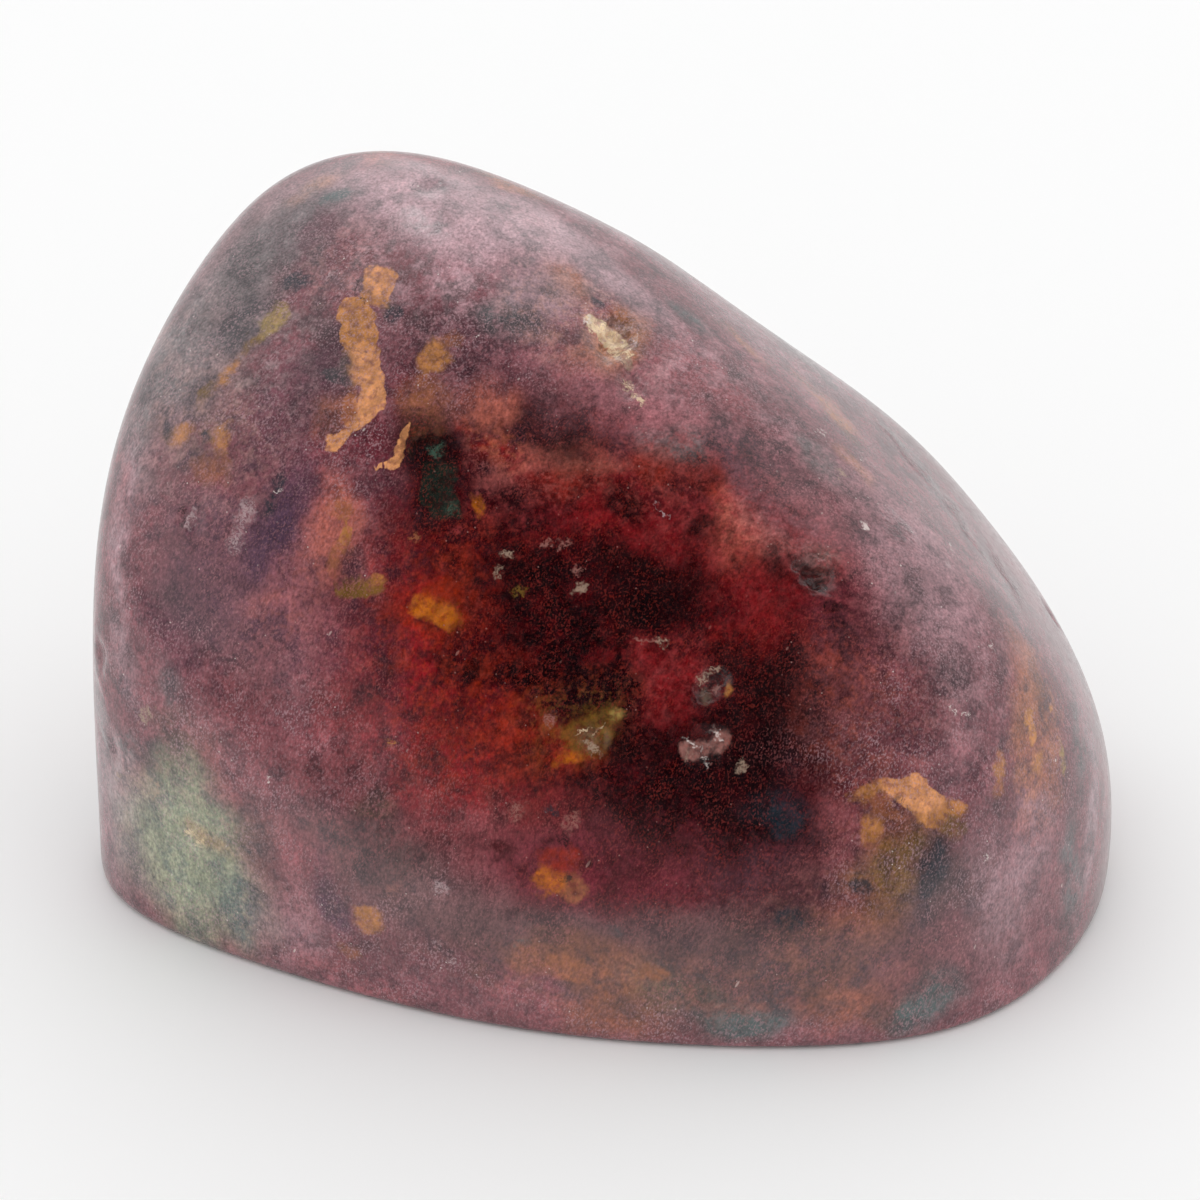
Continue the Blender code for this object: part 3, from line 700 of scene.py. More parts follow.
class RhodoniteStudio(bpy.types.PropertyGroup):
    """The floor, the light and the camera"""

    camera_distance: length("Camera distance", "From the camera to the middle of the stone", 0.45)
    camera_elevation: angle("Camera elevation", "Height of the camera over level", 29)
    view_width: length("View width", "Width of the picture at the stone", 0.1)
    aim: FloatVectorProperty(
        name="Aim",
        description="The point in the middle of the picture",
        default=(-0.0004, 0, 0.024),
        subtype="XYZ",
        unit="LENGTH",
    )
    floor_size: length("Floor size", "Side of the floor", 3.0)
    floor_tint: pigment("Floor tint", "Colour of the floor", (0.92, 0.92, 0.92))
    cloth_tint: pigment("Cloth tint", "Colour of the dark cloth before the stone", (0.12, 0.12, 0.12))
    cloth_start: length("Cloth start", "From the middle of the stone to the dark cloth", 0.045)
    cloth_fade: length("Cloth fade", "How far the edge of the dark cloth is blurred", 0.05)
    wall_light: FloatProperty(
        name="Wall light", description="Brightness of the white walls", default=0.83, min=0
    )
    fill_light: FloatProperty(
        name="Fill light", description="Brightness of the soft light all round", default=1.06, min=0
    )
    card_angle: angle("Card angle", "Half-angle of the dark card behind the camera", 27)
    card_fade: angle("Card fade", "Angle over which the dark card fades into the walls", 38)
    card_side: angle("Card side", "How far the card stands to the right of the camera", 5)
    card_rise: angle("Card rise", "How far the card stands above the camera", 4)
    window_light: FloatProperty(
        name="Window light", description="Brightness that the window adds", default=1.3, min=0
    )
    window_heading: angle("Window heading", "Where the window stands, from +X towards +Y", 92)
    window_elevation: angle("Window elevation", "Height of the window over level", 40)
    lamp_light: FloatProperty(
        name="Lamp light", description="Brightness that the small lamp adds", default=6.0, min=0
    )
    lamp_heading: angle("Lamp heading", "Where the small lamp stands, from +X towards +Y", 112)
    lamp_elevation: angle("Lamp elevation", "Height of the small lamp over level", 74)
    lamp_angle: angle("Lamp angle", "Half-angle of the small lamp, to where it has faded", 6.5)
    window_angle: angle("Window angle", "Half-angle of the window, to where it has faded", 40)


def camera_axes(studio):
    """The camera's place, and its rightward, upward and forward directions."""
    tilt = studio.camera_elevation
    forward = Vector((0, math.cos(tilt), -math.sin(tilt)))
    upward = Vector((0, math.sin(tilt), math.cos(tilt)))
    place = Vector(studio.aim) - forward * studio.camera_distance
    return place, Vector((1, 0, 0)), upward, forward


def direction_of(heading, elevation):
    """The direction that is so far round from +X towards +Y, and so far above level."""
    level = math.cos(elevation)
    return Vector((level * math.cos(heading), level * math.sin(heading), math.sin(elevation)))


def deselect_all():
    bpy.ops.object.select_all(action="DESELECT")


def activate(piece):
    deselect_all()
    piece.select_set(True)
    bpy.context.view_layer.objects.active = piece


def smooth_step(low, high, values):
    step = np.clip((values - low) / (high - low), 0, 1)
    return step * step * (3 - 2 * step)


def noise_vectors(points, size, seed):
    """Smooth noise with three channels, from about -1 to 1, at each point in millimetres."""
    shift = Vector((seed * 7.3, seed * 3.1, seed * 5.7))
    return np.array([noise.noise_vector(Vector(point) / size + shift) for point in points])


def noise_values(points, size, seed):
    shift = Vector((seed * 7.3, seed * 3.1, seed * 5.7))
    return np.array([noise.noise(Vector(point) / size + shift) for point in points])


def oval_axes(rightward, normal, turn):
    """Lengthways and crossways axes of an oval on the skin, turned from level by degrees."""
    level = (rightward - normal * rightward.dot(normal)).normalized()
    uphill = normal.cross(level)
    turned = math.radians(turn)
    along = level * math.cos(turned) + uphill * math.sin(turned)
    return along, normal.cross(along)


class Skin:
    """The stone's finished skin, in millimetres, and ways to find places on it."""

    def __init__(self, mesh, studio, warp):
        count = len(mesh.vertices)
        points = np.empty(count * 3)
        normals = np.empty(count * 3)
        mesh.vertices.foreach_get("co", points)
        mesh.vertices.foreach_get("normal", normals)
        self.points = points.reshape(-1, 3) / MM
        self.normals = normals.reshape(-1, 3)
        self.warp = warp / MM
        self.drift = self.drift_at(self.points)
        self.tree = BVHTree.FromPolygons(
            [Vector(point) for point in self.points], [tuple(face.vertices) for face in mesh.polygons]
        )
        self.eye, self.right, self.up, self.forward = camera_axes(studio)
        self.eye = self.eye / MM
        self.pixel_slope = studio.view_width / studio.camera_distance / PHOTO_SIZE

    def drift_at(self, points):
        """How far the painting strays at each point, so that no cloud is an even oval."""
        return self.warp * (1.6 * noise_vectors(points, 6.0, 1) + 1.0 * noise_vectors(points, 2.2, 2))

    def at_pixel(self, x, y):
        """The place on the skin that a pixel of the photograph shows, and the skin's normal there."""
        ray = self.forward + self.right * (x - PHOTO_CENTRE) * self.pixel_slope
        ray = ray + self.up * (PHOTO_CENTRE - y) * self.pixel_slope
        place, normal, _, _ = self.tree.ray_cast(self.eye, ray.normalized())
        if place is None:
            raise RuntimeError(f"no skin shows at pixel {x}, {y}")
        return place, normal

    def at_random(self, source):
        """A place on the skin that the photograph doesn't show, and the skin's normal there."""
        while True:
            direction = Vector([source.gauss(0, 1) for _ in range(3)]).normalized()
            centre = Vector((0, 0, 25))
            place, normal, _, _ = self.tree.ray_cast(centre + direction * 200, -direction)
            if normal.dot((self.eye - place).normalized()) < -0.05 and place.z > 0.5:
                return place, normal

    def spread(self, place, normal, length, width, turn, drift_share=1.0):
        """How far each point lies from a place: 0 at the middle of an oval, 1 at its edge."""
        along, across = oval_axes(self.right, normal, turn)
        drift = self.drift - self.drift_at([place])
        offset = self.points + drift * drift_share - np.array(place)
        axes = np.array([along / (length / 2), across / (width / 2), normal / max(length, width)])
        return np.linalg.norm(offset @ axes.T, axis=1)


def scattered_ovals(skin, kinds, source):
    """Ovals on the unseen skin, for a list of pigment, count, length and amount."""
    ovals = []
    for kind, count, size, amount in kinds:
        for _ in range(count):
            place, normal = skin.at_random(source)
            long_side = size * source.uniform(0.7, 1.5)
            wide_side = long_side * source.uniform(0.35, 0.9)
            ovals.append((place, normal, long_side, wide_side, source.uniform(0, 180), kind, amount))
    source.shuffle(ovals)
    return ovals


def paint_clouds(skin, pigments, ground, clouds, hidden_kinds, seed, soft_edge):
    """A soft colour at each point of the skin: a ground, hidden clouds, then the clouds in order."""
    tint = np.tile(np.array(getattr(pigments, ground)), (len(skin.points), 1))
    ovals = scattered_ovals(skin, hidden_kinds, random.Random(seed))
    for x, y, *shape in clouds.values():
        ovals.append((*skin.at_pixel(x, y), *shape))
    for place, normal, long_side, wide_side, turn, kind, amount in ovals:
        spread = skin.spread(place, normal, long_side, wide_side, turn)
        cover = amount * (1 - smooth_step(1 - soft_edge, 1 + soft_edge, spread))
        tint += (np.array(getattr(pigments, kind)) - tint) * cover[:, None]
    return tint


def paint_powder_and_sheen(skin):
    """How much powder, with its painted sheen, lies on each point, from 0 to 1."""
    powder = np.ones(len(skin.points))
    for x, y, *shape, amount in CLEAR_PLACES.values():
        spread = skin.spread(*skin.at_pixel(x, y), *shape)
        powder *= 1 - amount * (1 - smooth_step(0.6, 1.25, spread))
    return powder


def paint_patches(skin, pigments):
    """For each point: how deep it lies inside a mark in millimetres, and that mark's colour and blur."""
    source = random.Random(HIDDEN_SEED + 1)
    ovals = [(*skin.at_pixel(x, y), *shape) for x, y, *shape in PATCHES.values()]
    for kind, count, blur in HIDDEN_PATCHES:
        for _ in range(count):
            long_side = source.uniform(1.5, 7.0)
            wide_side = long_side * source.uniform(0.16, 0.5)
            ovals.append((*skin.at_random(source), long_side, wide_side, source.uniform(0, 180), kind, blur))
    field = np.full(len(skin.points), -3.0)
    weight = np.full(len(skin.points), 1e-12)
    finish = np.tile(np.array([*pigments.ochre, 0.2]), (len(skin.points), 1)) * 1e-12
    for place, normal, long_side, wide_side, turn, kind, blur in ovals:
        spread = skin.spread(place, normal, long_side, wide_side, turn, 0.45)
        depth = np.maximum((1 - spread) * math.sqrt(long_side * wide_side) / 2, -3.0)
        strength = np.exp(depth / 0.15)
        finish += strength[:, None] * np.array([*getattr(pigments, kind), blur])
        weight += strength
        field = np.maximum(field, depth)
    return field, finish / weight[:, None]


def paint_pits(skin):
    """How much each point belongs to an open pit, from 0 to 1, and how rough its floor is."""
    amount = np.zeros(len(skin.points))
    rough = np.zeros(len(skin.points))
    for x, y, width, floor in OPEN_PITS.values():
        place, normal = skin.at_pixel(x, y)
        inside = 1 - smooth_step(0.45, 1.0, skin.spread(place, normal, width, width, 0, 0.6))
        amount = np.maximum(amount, inside)
        rough = np.maximum(rough, inside * floor)
    return amount, rough


def paint_ripples(skin):
    amount = np.zeros(len(skin.points))
    for x, y, *shape in RIPPLES.values():
        spread = skin.spread(*skin.at_pixel(x, y), *shape)
        amount = np.maximum(amount, 1 - smooth_step(0.4, 1.1, spread))
    return amount


def crumble_pits(mesh, skin, rough):
    """Heap crumbs on the floors of the open pits, so that no pit is a smooth bowl."""
    crumbs = noise_values(skin.points, 0.8, 5) + 0.6 * noise_values(skin.points, 0.4, 6)
    points = skin.points + skin.normals * (rough * (crumbs - 0.1))[:, None]
    mesh.vertices.foreach_set("co", (points * MM).ravel())
    mesh.update()


def store_colour(mesh, name, colour):
    attribute = mesh.attributes.new(name, "FLOAT_COLOR", "POINT")
    if colour.shape[1] == 3:
        colour = np.column_stack([colour, np.ones(len(colour))])
    attribute.data.foreach_set("color", colour.ravel())


def store_vector(mesh, name, *channels):
    attribute = mesh.attributes.new(name, "FLOAT_VECTOR", "POINT")
    attribute.data.foreach_set("vector", np.column_stack(channels).ravel())


def set_inputs(tree, node, values):
    """Give a node's inputs a value, or a link from another node's socket."""
    for key, value in values.items():
        if isinstance(value, bpy.types.NodeSocket):
            tree.links.new(value, node.inputs[key])
        else:
            node.inputs[key].default_value = value


def add_node(tree, kind, values=None, **settings):
    node = tree.nodes.new(kind)
    for key, value in settings.items():
        setattr(node, key, value)
    set_inputs(tree, node, values or {})
    node.location = (190 * (len(tree.nodes) % 12), -260 * (len(tree.nodes) // 12))
    return node


def math_node(tree, operation, first, second=0.0, third=0.0):
    return add_node(tree, "ShaderNodeMath", {0: first, 1: second, 2: third}, operation=operation).outputs[0]


def mapped(tree, value, low, high, to_low=0.0, to_high=1.0, blend="SMOOTHSTEP"):
    values = {"Value": value, "From Min": low, "From Max": high, "To Min": to_low, "To Max": to_high}
    return add_node(tree, "ShaderNodeMapRange", values, interpolation_type=blend).outputs["Result"]


def mixed(tree, amount, first, second, blend="MIX"):
    """Two colours mixed. A colour is a socket or three numbers."""
    node = add_node(tree, "ShaderNodeMix", data_type="RGBA", blend_type=blend, clamp_factor=True)
    colours = [value if isinstance(value, bpy.types.NodeSocket) else (*value, 1) for value in (first, second)]
    set_inputs(tree, node, {0: amount, 6: colours[0], 7: colours[1]})
    return node.outputs[2]


def mixed_value(tree, amount, first, second):
    return add_node(tree, "ShaderNodeMix", {0: amount, 2: first, 3: second}).outputs[0]


def grey(tree, value):
    return add_node(tree, "ShaderNodeCombineColor", {0: value, 1: value, 2: value}).outputs[0]


def new_group(name, inputs, outputs):
    """An empty shader node group. Inputs are (name, kind, default); outputs are (name, kind)."""
    group = bpy.data.node_groups.new(name, "ShaderNodeTree")
    for socket_name, kind, default in inputs:
        socket = group.interface.new_socket(
            name=socket_name, in_out="INPUT", socket_type="NodeSocket" + kind
        )
        socket.default_value = default
    for socket_name, kind in outputs:
        group.interface.new_socket(name=socket_name, in_out="OUTPUT", socket_type="NodeSocket" + kind)
    return group, group.nodes.new("NodeGroupInput").outputs, group.nodes.new("NodeGroupOutput").inputs


def make_blotch_group():
    """Fractal noise of a given size in millimetres, around 0.5."""
    group, given, made = new_group(
        "Mineral Blotch",
        [
            ("Place", "Vector", (0, 0, 0)),
            ("Size", "Float", 1.0),
            ("Detail", "Float", 2.0),
            ("Shift", "Float", 0.0),
        ],
        [("Value", "Float")],
    )
    inverse = math_node(group, "DIVIDE", 1.0, given["Size"])
    scaled = add_node(group, "ShaderNodeVectorMath", {0: given["Place"], "Scale": inverse}, operation="SCALE")
    shifted = add_node(
        group, "ShaderNodeVectorMath", {0: scaled.outputs[0], 1: given["Shift"]}, operation="ADD"
    )
    values = {"Vector": shifted.outputs[0], "Scale": 1.0, "Detail": given["Detail"], "Roughness": 0.56}
    group.links.new(add_node(group, "ShaderNodeTexNoise", values).outputs["Fac"], made["Value"])
    return group


def make_fleck_group():
    """Small scattered grains, here painted as glints: a share of the cells in a grid of a given spacing each hold
    one.
    """
    group, given, made = new_group(
        "Scattered Grain",
        [
            ("Place", "Vector", (0, 0, 0)),
            ("Spacing", "Float", 1.0),
            ("Size", "Float", 0.1),
            ("Share", "Float", 0.3),
        ],
        [("Mask", "Float")],
    )
    inverse = math_node(group, "DIVIDE", 1.0, given["Spacing"])
    scaled = add_node(group, "ShaderNodeVectorMath", {0: given["Place"], "Scale": inverse}, operation="SCALE")
    cells = add_node(group, "ShaderNodeTexVoronoi", {"Vector": scaled.outputs[0], "Scale": 1.0}, feature="F1")
    reach = math_node(group, "MULTIPLY", cells.outputs["Distance"], given["Spacing"])
    outer = math_node(group, "MULTIPLY", given["Size"], 1.6)
    near = mapped(group, reach, given["Size"], outer, 1.0, 0.0)
    chance = add_node(group, "ShaderNodeSeparateColor", {"Color": cells.outputs["Color"]})
    chosen = math_node(group, "LESS_THAN", chance.outputs["Red"], given["Share"])
    group.links.new(math_node(group, "MULTIPLY", near, chosen), made["Mask"])
    return group


def make_stretch_group():
    """A place drawn out along a direction that is turned in the plane of the front."""
    group, given, made = new_group(
        "Drawn Place",
        [("Place", "Vector", (0, 0, 0)), ("Turn", "Float", 0.0), ("Stretch", "Float", 8.0)],
        [("Place", "Vector")],
    )
    turned = add_node(
        group,
        "ShaderNodeVectorRotate",
        {"Vector": given["Place"], "Angle": given["Turn"]},
        rotation_type="Y_AXIS",
    )
    along = math_node(group, "DIVIDE", 1.0, given["Stretch"])
    scale = add_node(group, "ShaderNodeCombineXYZ", {"X": 1.0, "Y": 1.0, "Z": along})
    drawn = add_node(
        group, "ShaderNodeVectorMath", {0: turned.outputs[0], 1: scale.outputs[0]}, operation="MULTIPLY"
    )
    group.links.new(drawn.outputs[0], made["Place"])
    return group


def group_node(tree, group, values):
    node = add_node(tree, "ShaderNodeGroup", node_tree=group)
    set_inputs(tree, node, values)
    return node.outputs


def draw_bits(tree, colour, place, pigments, skin, tilt):
    """Each small mark as an oval of its own over a colour. The ovals lie flat to the camera."""
    breaks = add_node(tree, "ShaderNodeTexNoise", {"Vector": place, "Scale": 3.0}).outputs["Fac"]
    cover = mapped(tree, breaks, 0.4, 0.58, 0.1, 0.72)
    tilted = add_node(
        tree, "ShaderNodeVectorRotate", {"Vector": place, "Angle": tilt}, rotation_type="X_AXIS"
    ).outputs[0]
    turned_places = {}
    for x, y, long_side, wide_side, turn, kind, blur in BITS.values():
        middle, normal = skin.at_pixel(x, y)
        turn = math.radians(BIT_TURN_STEP * round(turn / BIT_TURN_STEP))
        if turn not in turned_places:
            turned_places[turn] = add_node(
                tree, "ShaderNodeVectorRotate", {"Vector": tilted, "Angle": turn}, rotation_type="Y_AXIS"
            ).outputs[0]
        middle = Matrix.Rotation(turn, 3, "Y") @ Matrix.Rotation(tilt, 3, "X") @ middle
        facing = math.sqrt(max(-normal.dot(skin.forward), 0.1))
        sides = (long_side * facing, max(5.0, 4 * long_side), wide_side * facing)
        scale = [2 / side for side in sides]
        shift = [-part * factor for part, factor in zip(middle, scale)]
        offset = add_node(
            tree, "ShaderNodeVectorMath", {0: turned_places[turn], 1: scale, 2: shift}, operation="MULTIPLY_ADD"
        )
        spread = add_node(tree, "ShaderNodeVectorMath", {0: offset.outputs[0]}, operation="LENGTH")
        fade = min(2 * (blur + 0.06) / math.sqrt(long_side * wide_side), 0.9)
        mask = mapped(tree, spread.outputs["Value"], 1 + fade, 1 - fade, 0.0, cover)
        colour = mixed(tree, mask, colour, getattr(pigments, kind))
    return colour


def make_skin_material(pigments, finish, skin, tilt):
    material = bpy.data.materials.new("Polished Rhodonite")
    material.use_nodes = True
    tree = material.node_tree
    shader = tree.nodes["Principled BSDF"]
    blotch_group = make_blotch_group()
    fleck_group = make_fleck_group()
    stretch_group = make_stretch_group()

    coordinates = add_node(tree, "ShaderNodeTexCoord")
    place = add_node(
        tree, "ShaderNodeVectorMath", {0: coordinates.outputs["Object"], "Scale": 1 / MM}, operation="SCALE"
    ).outputs[0]

    def attribute(name):
        return add_node(tree, "ShaderNodeAttribute", attribute_name=name).outputs

    def blotches(size, detail, shift, at=None):
        values = {"Place": at or place, "Size": size, "Detail": detail, "Shift": shift}
        return group_node(tree, blotch_group, values)["Value"]

    def drawn_out(at, turn, stretch):
        return group_node(tree, stretch_group, {"Place": at, "Turn": turn, "Stretch": stretch})["Place"]

    patch = attribute("patch_finish")
    patch_depth, powder_and_sheen_amount, pitted = add_node(
        tree, "ShaderNodeSeparateXYZ", {0: attribute("patch_powder_pit")["Vector"]}
    ).outputs
    rippled = attribute("ripple")["Fac"]

    # fine noise, and streaks that stand upright on the left and slant on the right
    side = mapped(tree, add_node(tree, "ShaderNodeSeparateXYZ", {0: place}).outputs["X"], -14.0, 8.0)
    drawn = drawn_out(place, -0.3, 1.6)
    grain = blotches(finish.grain / MM, 1.0, 33.0, drawn)
    coarse_grain = blotches(finish.grain / MM * 2.6, 2.0, 37.0, drawn)
    upright = blotches(finish.streak / MM, 1.5, 41.0, drawn_out(place, 0.1, 8.0))
    slanting = blotches(finish.streak / MM, 1.5, 43.0, drawn_out(place, -0.75, 8.0))
    streaks = mixed_value(tree, side, upright, slanting)

    # the ground: a paler and a darker mineral mottled into the soft clouds
    colour = attribute("ground_tint")["Color"]
    blotch_size = finish.blotch / MM
    for tint, size, shift, bounds, strength in (
        ("dark_tint", blotch_size, 3.0, (0.54, 0.36), finish.dark_mottling),
        ("light_tint", blotch_size * 0.8, 9.0, (0.47, 0.68), finish.light_mottling),
        ("dark_tint", blotch_size * 0.27, 15.0, (0.55, 0.36), finish.dark_mottling * 0.55),
        ("light_tint", blotch_size * 0.19, 21.0, (0.47, 0.7), finish.light_mottling * 0.8),
    ):
        mask = mapped(tree, blotches(size, 4.0, shift), *bounds)
        mask = math_node(tree, "MULTIPLY", mask, strength)
        colour = mixed(tree, mask, colour, attribute(tint)["Color"])
    shade = mapped(tree, coarse_grain, 0.25, 0.75, 0.84, 1.18, "LINEAR")
    shade = math_node(tree, "MULTIPLY", shade, mapped(tree, grain, 0.25, 0.75, 0.68, 1.38, "LINEAR"))
    shade = math_node(tree, "MULTIPLY", shade, mapped(tree, streaks, 0.3, 0.7, 0.88, 1.13, "LINEAR"))
    shade = math_node(tree, "MULTIPLY", shade, mapped(tree, blotches(4.5, 1.0, 29.0), 0.3, 0.7, 0.76, 1.24, "LINEAR"))
    colour = mixed(tree, 1.0, colour, grey(tree, shade), "MULTIPLY")

    # marks with an edge
    patch_ragged = math_node(tree, "SUBTRACT", blotches(1.3, 5.0, 45.0), 0.5)
    blur = patch["Alpha"]
    raggedness = math_node(tree, "MULTIPLY_ADD", blur, 3.0, 1.1)
    patch_edge = math_node(tree, "MULTIPLY_ADD", patch_ragged, raggedness, patch_depth)
    patch_mask = mapped(tree, patch_edge, math_node(tree, "MULTIPLY", blur, -1.0), blur)
    patch_shade = mapped(tree, blotches(1.0, 4.0, 51.0), 0.3, 0.7, 0.6, 1.3, "LINEAR")
    patch_grain = mapped(tree, grain, 0.25, 0.75, 0.85, 1.14, "LINEAR")
    patch_shade = math_node(tree, "MULTIPLY", patch_shade, patch_grain)
    patch_colour = mixed(tree, 1.0, patch["Color"], grey(tree, patch_shade), "MULTIPLY")
    patch_break = mapped(tree, blotches(0.5, 4.0, 48.0), 0.34, 0.56, 0.45, 1.0)
    patch_cover = math_node(tree, "MULTIPLY", mapped(tree, blur, 0.0, 0.6, 0.97, 0.6, "LINEAR"), patch_break)
    colour = mixed(tree, math_node(tree, "MULTIPLY", patch_mask, patch_cover), colour, patch_colour)

    # pale powder, partly a real fine grain and partly painted sheen, the haze of the reflection, left off the dark
    # front; then pale grains and strokes painted as glints
    clusters = mapped(tree, blotches(3.2, 3.0, 57.0), 0.4, 0.66, 0.35, 1.0)
    powder = mapped(tree, blotches(0.15, 1.0, 39.0, drawn), 0.47, 0.7)
    powder = math_node(tree, "MULTIPLY", powder, clusters)
    powder_and_sheen_share = mapped(tree, powder_and_sheen_amount, 0.0, 1.0, finish.powder * 0.5, finish.powder, "LINEAR")
    powder_and_sheen_colour = mixed(tree, powder_and_sheen_amount, pigments.spark, pigments.pale_lilac)
    colour = mixed(tree, math_node(tree, "MULTIPLY", powder, powder_and_sheen_share), colour, powder_and_sheen_colour)
    # flecks and strokes: pale specks painted as glints off the grains, bone over the powdered skin and dusty pink in
    # the clear heart
    glint_flecks = group_node(tree, fleck_group, {"Place": place, "Spacing": 0.8, "Size": 0.05, "Share": 0.45})
    glint_strokes = group_node(
        tree,
        fleck_group,
        {"Place": drawn_out(place, -0.5, 4.0), "Spacing": 1.5, "Size": 0.07, "Share": 0.3},
    )
    grains_and_glints = math_node(tree, "MAXIMUM", glint_flecks["Mask"], glint_strokes["Mask"])
    grains_and_glints = math_node(tree, "MULTIPLY", grains_and_glints, mapped(tree, clusters, 0.35, 1.0, 0.15, 0.75, "LINEAR"))
    grain_and_glint_colour = mixed(tree, powder_and_sheen_amount, pigments.dusty_pink, pigments.bone)
    colour = mixed(tree, grains_and_glints, colour, grain_and_glint_colour)

    # small marks that are drawn one by one, with ragged outlines
    stray = add_node(tree, "ShaderNodeTexNoise", {"Vector": place, "Scale": 2.0, "Detail": 2.0}).outputs["Color"]
    stray = mixed(tree, 0.2, stray, colour)
    stray = add_node(tree, "ShaderNodeVectorMath", {0: stray, 1: (0.43,) * 3}, operation="SUBTRACT").outputs[0]
    strayed = add_node(
        tree, "ShaderNodeVectorMath", {0: stray, 1: (1.9,) * 3, 2: place}, operation="MULTIPLY_ADD"
    )
    colour = draw_bits(tree, colour, strayed.outputs[0], pigments, skin, tilt)

    low_gloss, high_gloss = finish.roughness - 0.04, finish.roughness + 0.08
    roughness = mapped(tree, coarse_grain, 0.3, 0.7, low_gloss, high_gloss, "LINEAR")
    roughness = mixed_value(tree, math_node(tree, "MULTIPLY", pitted, 0.8), roughness, 0.36)

    # relief in millimetres: grain, streaks, pale grains, pit floors and ripples
    height = 0.0
    for amount, scale in (
        (coarse_grain, 0.012),
        (streaks, 0.01),
        (grains_and_glints, 0.02),
        (math_node(tree, "MULTIPLY", pitted, blotches(0.5, 3.0, 69.0)), 0.14),
        (math_node(tree, "MULTIPLY", rippled, blotches(0.45, 2.0, 63.0, drawn_out(place, -0.82, 5.0))), 0.16),
    ):
        height = math_node(tree, "MULTIPLY_ADD", amount, scale * MM, height)
    bump = add_node(tree, "ShaderNodeBump", {"Height": height, "Strength": 1.0, "Distance": 1.0})

    tree.links.new(colour, shader.inputs["Base Color"])
    tree.links.new(roughness, shader.inputs["Roughness"])
    tree.links.new(bump.outputs["Normal"], shader.inputs["Normal"])
    shader.inputs["IOR"].default_value = finish.refraction
    return material


def make_floor_material(studio):
    """A pale floor. Its reflection in the polish shows a dark cloth before the stone."""
    material = bpy.data.materials.new("Pale Floor")
    material.use_nodes = True
    tree = material.node_tree
    shader = tree.nodes["Principled BSDF"]
    place = add_node(tree, "ShaderNodeTexCoord").outputs["Object"]
    forward = add_node(tree, "ShaderNodeSeparateXYZ", {0: place}).outputs["Y"]
    cloth = mapped(tree, forward, -studio.cloth_start, -studio.cloth_start - studio.cloth_fade)
    reflected = add_node(tree, "ShaderNodeLightPath").outputs["Is Glossy Ray"]
    cloth = math_node(tree, "MULTIPLY", cloth, reflected)
    tree.links.new(mixed(tree, cloth, studio.floor_tint, studio.cloth_tint), shader.inputs["Base Color"])
    shader.inputs["Roughness"].default_value = 0.7
    return material


class RHODONITE_OT_stone(bpy.types.Operator):
    """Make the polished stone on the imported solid"""

    bl_idname = "rhodonite.stone"
    bl_label = "Polished Stone"

    def execute(self, context):
        scene = context.scene
        finish = scene.rhodonite_skin
        pigments = scene.rhodonite_pigments
        piece = bpy.data.objects.new("polished_stone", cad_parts[STONE_NODE].data.copy())
        scene.collection.objects.link(piece)
        piece.data.name = "polished_stone"
        piece.data.materials.clear()
        activate(piece)
        bpy.ops.object.mode_set(mode="EDIT")
        bpy.ops.mesh.select_all(action="SELECT")
        bpy.ops.mesh.remove_doubles(threshold=0.001 * MM)
        bpy.ops.mesh.tris_convert_to_quads()
        bpy.ops.object.mode_set(mode="OBJECT")
        bpy.ops.object.modifier_add(type="SUBSURF")
        modifier = piece.modifiers[-1]
        modifier.levels = finish.smoothing
        modifier.render_levels = finish.smoothing
        bpy.ops.object.modifier_apply(modifier=modifier.name)
        bpy.ops.object.shade_smooth()

        mesh = piece.data
        skin = Skin(mesh, scene.rhodonite_studio, finish.warp)
        for name, ground, clouds, hidden, seed in (
            ("ground_tint", "mauve", CLOUDS, HIDDEN_CLOUDS, HIDDEN_SEED),
            ("light_tint", "dusk_rose", LIGHT_MOTTLES, HIDDEN_LIGHT_MOTTLES, HIDDEN_SEED + 2),
            ("dark_tint", "dark_plum", DARK_MOTTLES, HIDDEN_DARK_MOTTLES, HIDDEN_SEED + 3),
        ):
            tint = paint_clouds(skin, pigments, ground, clouds, hidden, seed, finish.soft_edge)
            store_colour(mesh, name, tint)
        patch_depth, patch_finish = paint_patches(skin, pigments)
        store_colour(mesh, "patch_finish", patch_finish)
        pitted, rough = paint_pits(skin)
        # the powder channel holds the pale powder with its painted sheen
        store_vector(mesh, "patch_powder_pit", patch_depth, paint_powder_and_sheen(skin), pitted)
        mesh.attributes.new("ripple", "FLOAT", "POINT").data.foreach_set("value", paint_ripples(skin))
        crumble_pits(mesh, skin, rough)
        tilt = scene.rhodonite_studio.camera_elevation
        mesh.materials.append(make_skin_material(pigments, finish, skin, tilt))

        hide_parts(STONE_NODE)
        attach(piece, "root")
        return {"FINISHED"}


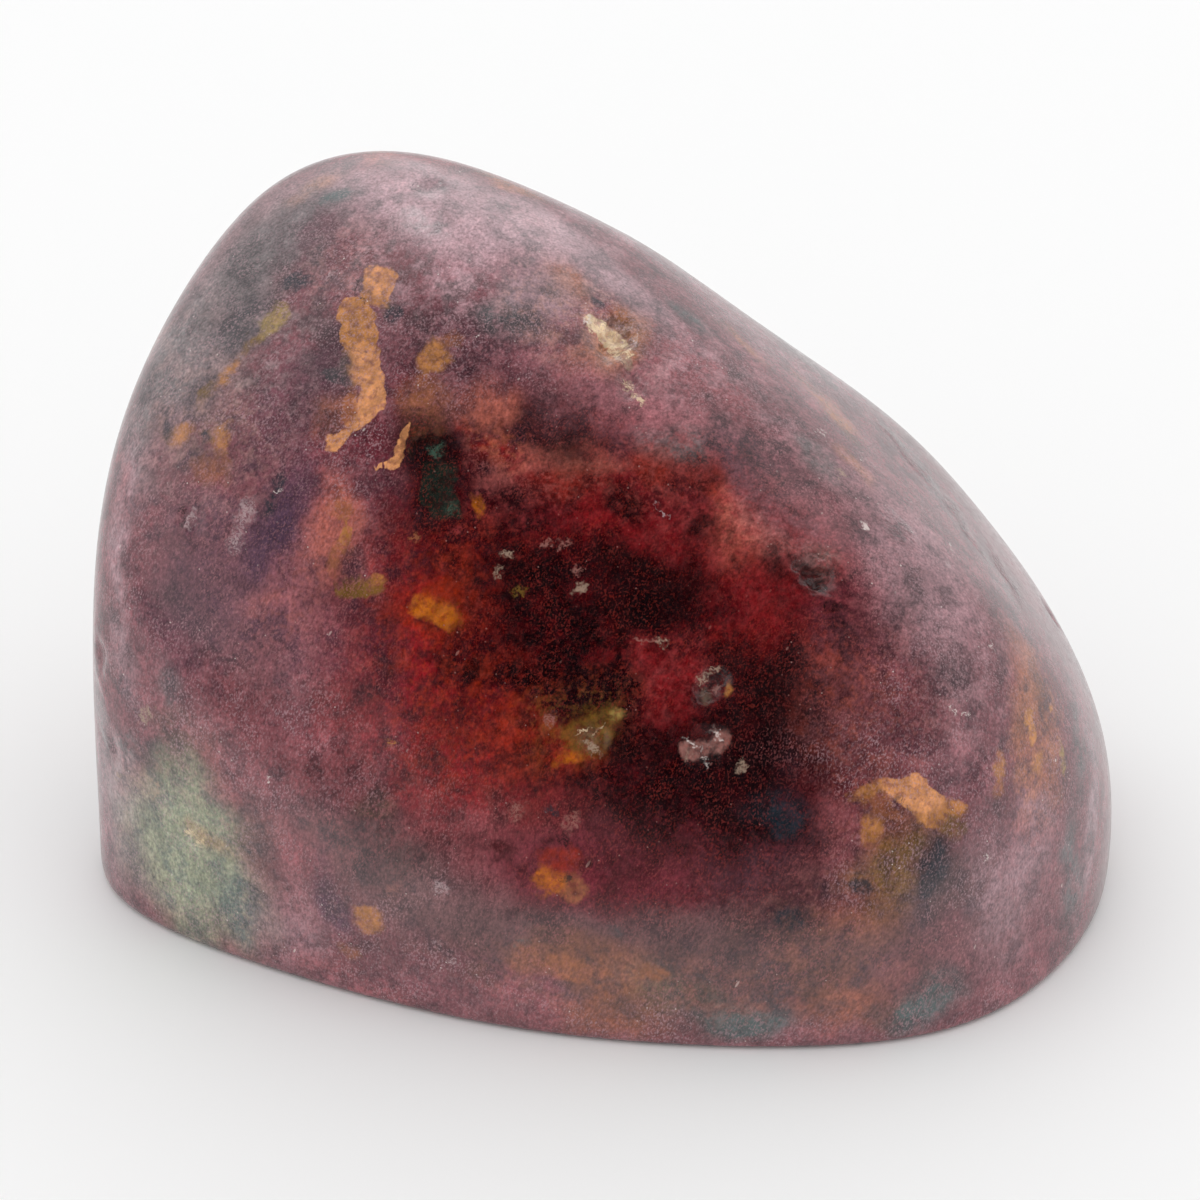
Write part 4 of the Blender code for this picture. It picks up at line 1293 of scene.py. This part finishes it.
class RHODONITE_OT_studio(bpy.types.Operator):
    """Make the pale floor, the soft light and the camera"""

    bl_idname = "rhodonite.studio"
    bl_label = "Plain Studio"

    def execute(self, context):
        studio = context.scene.rhodonite_studio
        self.add_floor(studio)
        self.light_world(context.scene, studio)
        self.add_camera(context.scene, studio)
        context.scene.view_settings.view_transform = "Standard"
        return {"FINISHED"}

    def add_floor(self, studio):
        deselect_all()
        bpy.ops.mesh.primitive_plane_add(size=studio.floor_size)
        floor = bpy.context.active_object
        floor.name = "floor"
        floor.data.materials.append(make_floor_material(studio))

    def light_world(self, scene, studio):
        """An even soft light, whose reflection in the polish shows walls, a window and a dark card."""
        world = bpy.data.worlds.new("Soft Studio")
        scene.world = world
        world.use_nodes = True
        tree = world.node_tree
        background = tree.nodes["Background"]
        direction = add_node(tree, "ShaderNodeTexCoord").outputs["Generated"]
        card = direction_of(math.radians(-90) + studio.card_side, studio.camera_elevation + studio.card_rise)
        window = direction_of(studio.window_heading, studio.window_elevation)

        def angle_from(centre):
            product = add_node(tree, "ShaderNodeVectorMath", {0: direction, 1: centre}, operation="DOT_PRODUCT")
            return math_node(tree, "ARCCOSINE", product.outputs["Value"])

        card_end = studio.card_angle + studio.card_fade
        walls = mapped(tree, angle_from(card), studio.card_angle, card_end, 0.0, studio.wall_light)
        glow = mapped(
            tree, angle_from(window), studio.window_angle, studio.window_angle / 4, 0.0, studio.window_light
        )
        lamp = direction_of(studio.lamp_heading, studio.lamp_elevation)
        spot = mapped(tree, angle_from(lamp), studio.lamp_angle, studio.lamp_angle / 3, 0.0, studio.lamp_light)
        light = math_node(tree, "ADD", math_node(tree, "ADD", walls, glow), spot)
        reflected = add_node(tree, "ShaderNodeLightPath").outputs["Is Glossy Ray"]
        strength = mixed_value(tree, reflected, studio.fill_light, light)
        tree.links.new(strength, background.inputs["Strength"])
        background.inputs["Color"].default_value = (1, 1, 1, 1)

    def add_camera(self, scene, studio):
        place, _, _, _ = camera_axes(studio)
        bpy.ops.object.camera_add(location=place, rotation=(math.pi / 2 - studio.camera_elevation, 0, 0))
        camera = bpy.context.active_object
        camera.name = "camera"
        camera.data.lens = camera.data.sensor_width * studio.camera_distance / studio.view_width
        camera.data.clip_start = 0.01
        scene.camera = camera


class RHODONITE_PT_panel(bpy.types.Panel):
    """Lists the pieces and their settings"""

    bl_idname = "RHODONITE_PT_panel"
    bl_label = "Rhodonite Freeform"
    bl_space_type = "VIEW_3D"
    bl_region_type = "UI"
    bl_category = "Rhodonite"

    def draw(self, context):
        layout = self.layout
        layout.operator(RHODONITE_OT_stone.bl_idname)
        layout.operator(RHODONITE_OT_studio.bl_idname)
        scene = context.scene
        for group in (scene.rhodonite_skin, scene.rhodonite_pigments, scene.rhodonite_studio):
            box = layout.box()
            for key in group.bl_rna.properties.keys():
                if key not in ("rna_type", "name"):
                    box.prop(group, key)


CLASSES = (
    RhodonitePigments,
    RhodoniteSkin,
    RhodoniteStudio,
    RHODONITE_OT_stone,
    RHODONITE_OT_studio,
    RHODONITE_PT_panel,
)


def register():
    for cls in CLASSES:
        bpy.utils.register_class(cls)
    bpy.types.Scene.rhodonite_pigments = PointerProperty(type=RhodonitePigments)
    bpy.types.Scene.rhodonite_skin = PointerProperty(type=RhodoniteSkin)
    bpy.types.Scene.rhodonite_studio = PointerProperty(type=RhodoniteStudio)


def unregister():
    del bpy.types.Scene.rhodonite_studio
    del bpy.types.Scene.rhodonite_skin
    del bpy.types.Scene.rhodonite_pigments
    for cls in reversed(CLASSES):
        bpy.utils.unregister_class(cls)


def main():
    register()
    bpy.ops.rhodonite.studio()
    bpy.ops.rhodonite.stone()


if __name__ == "__main__":
    main()
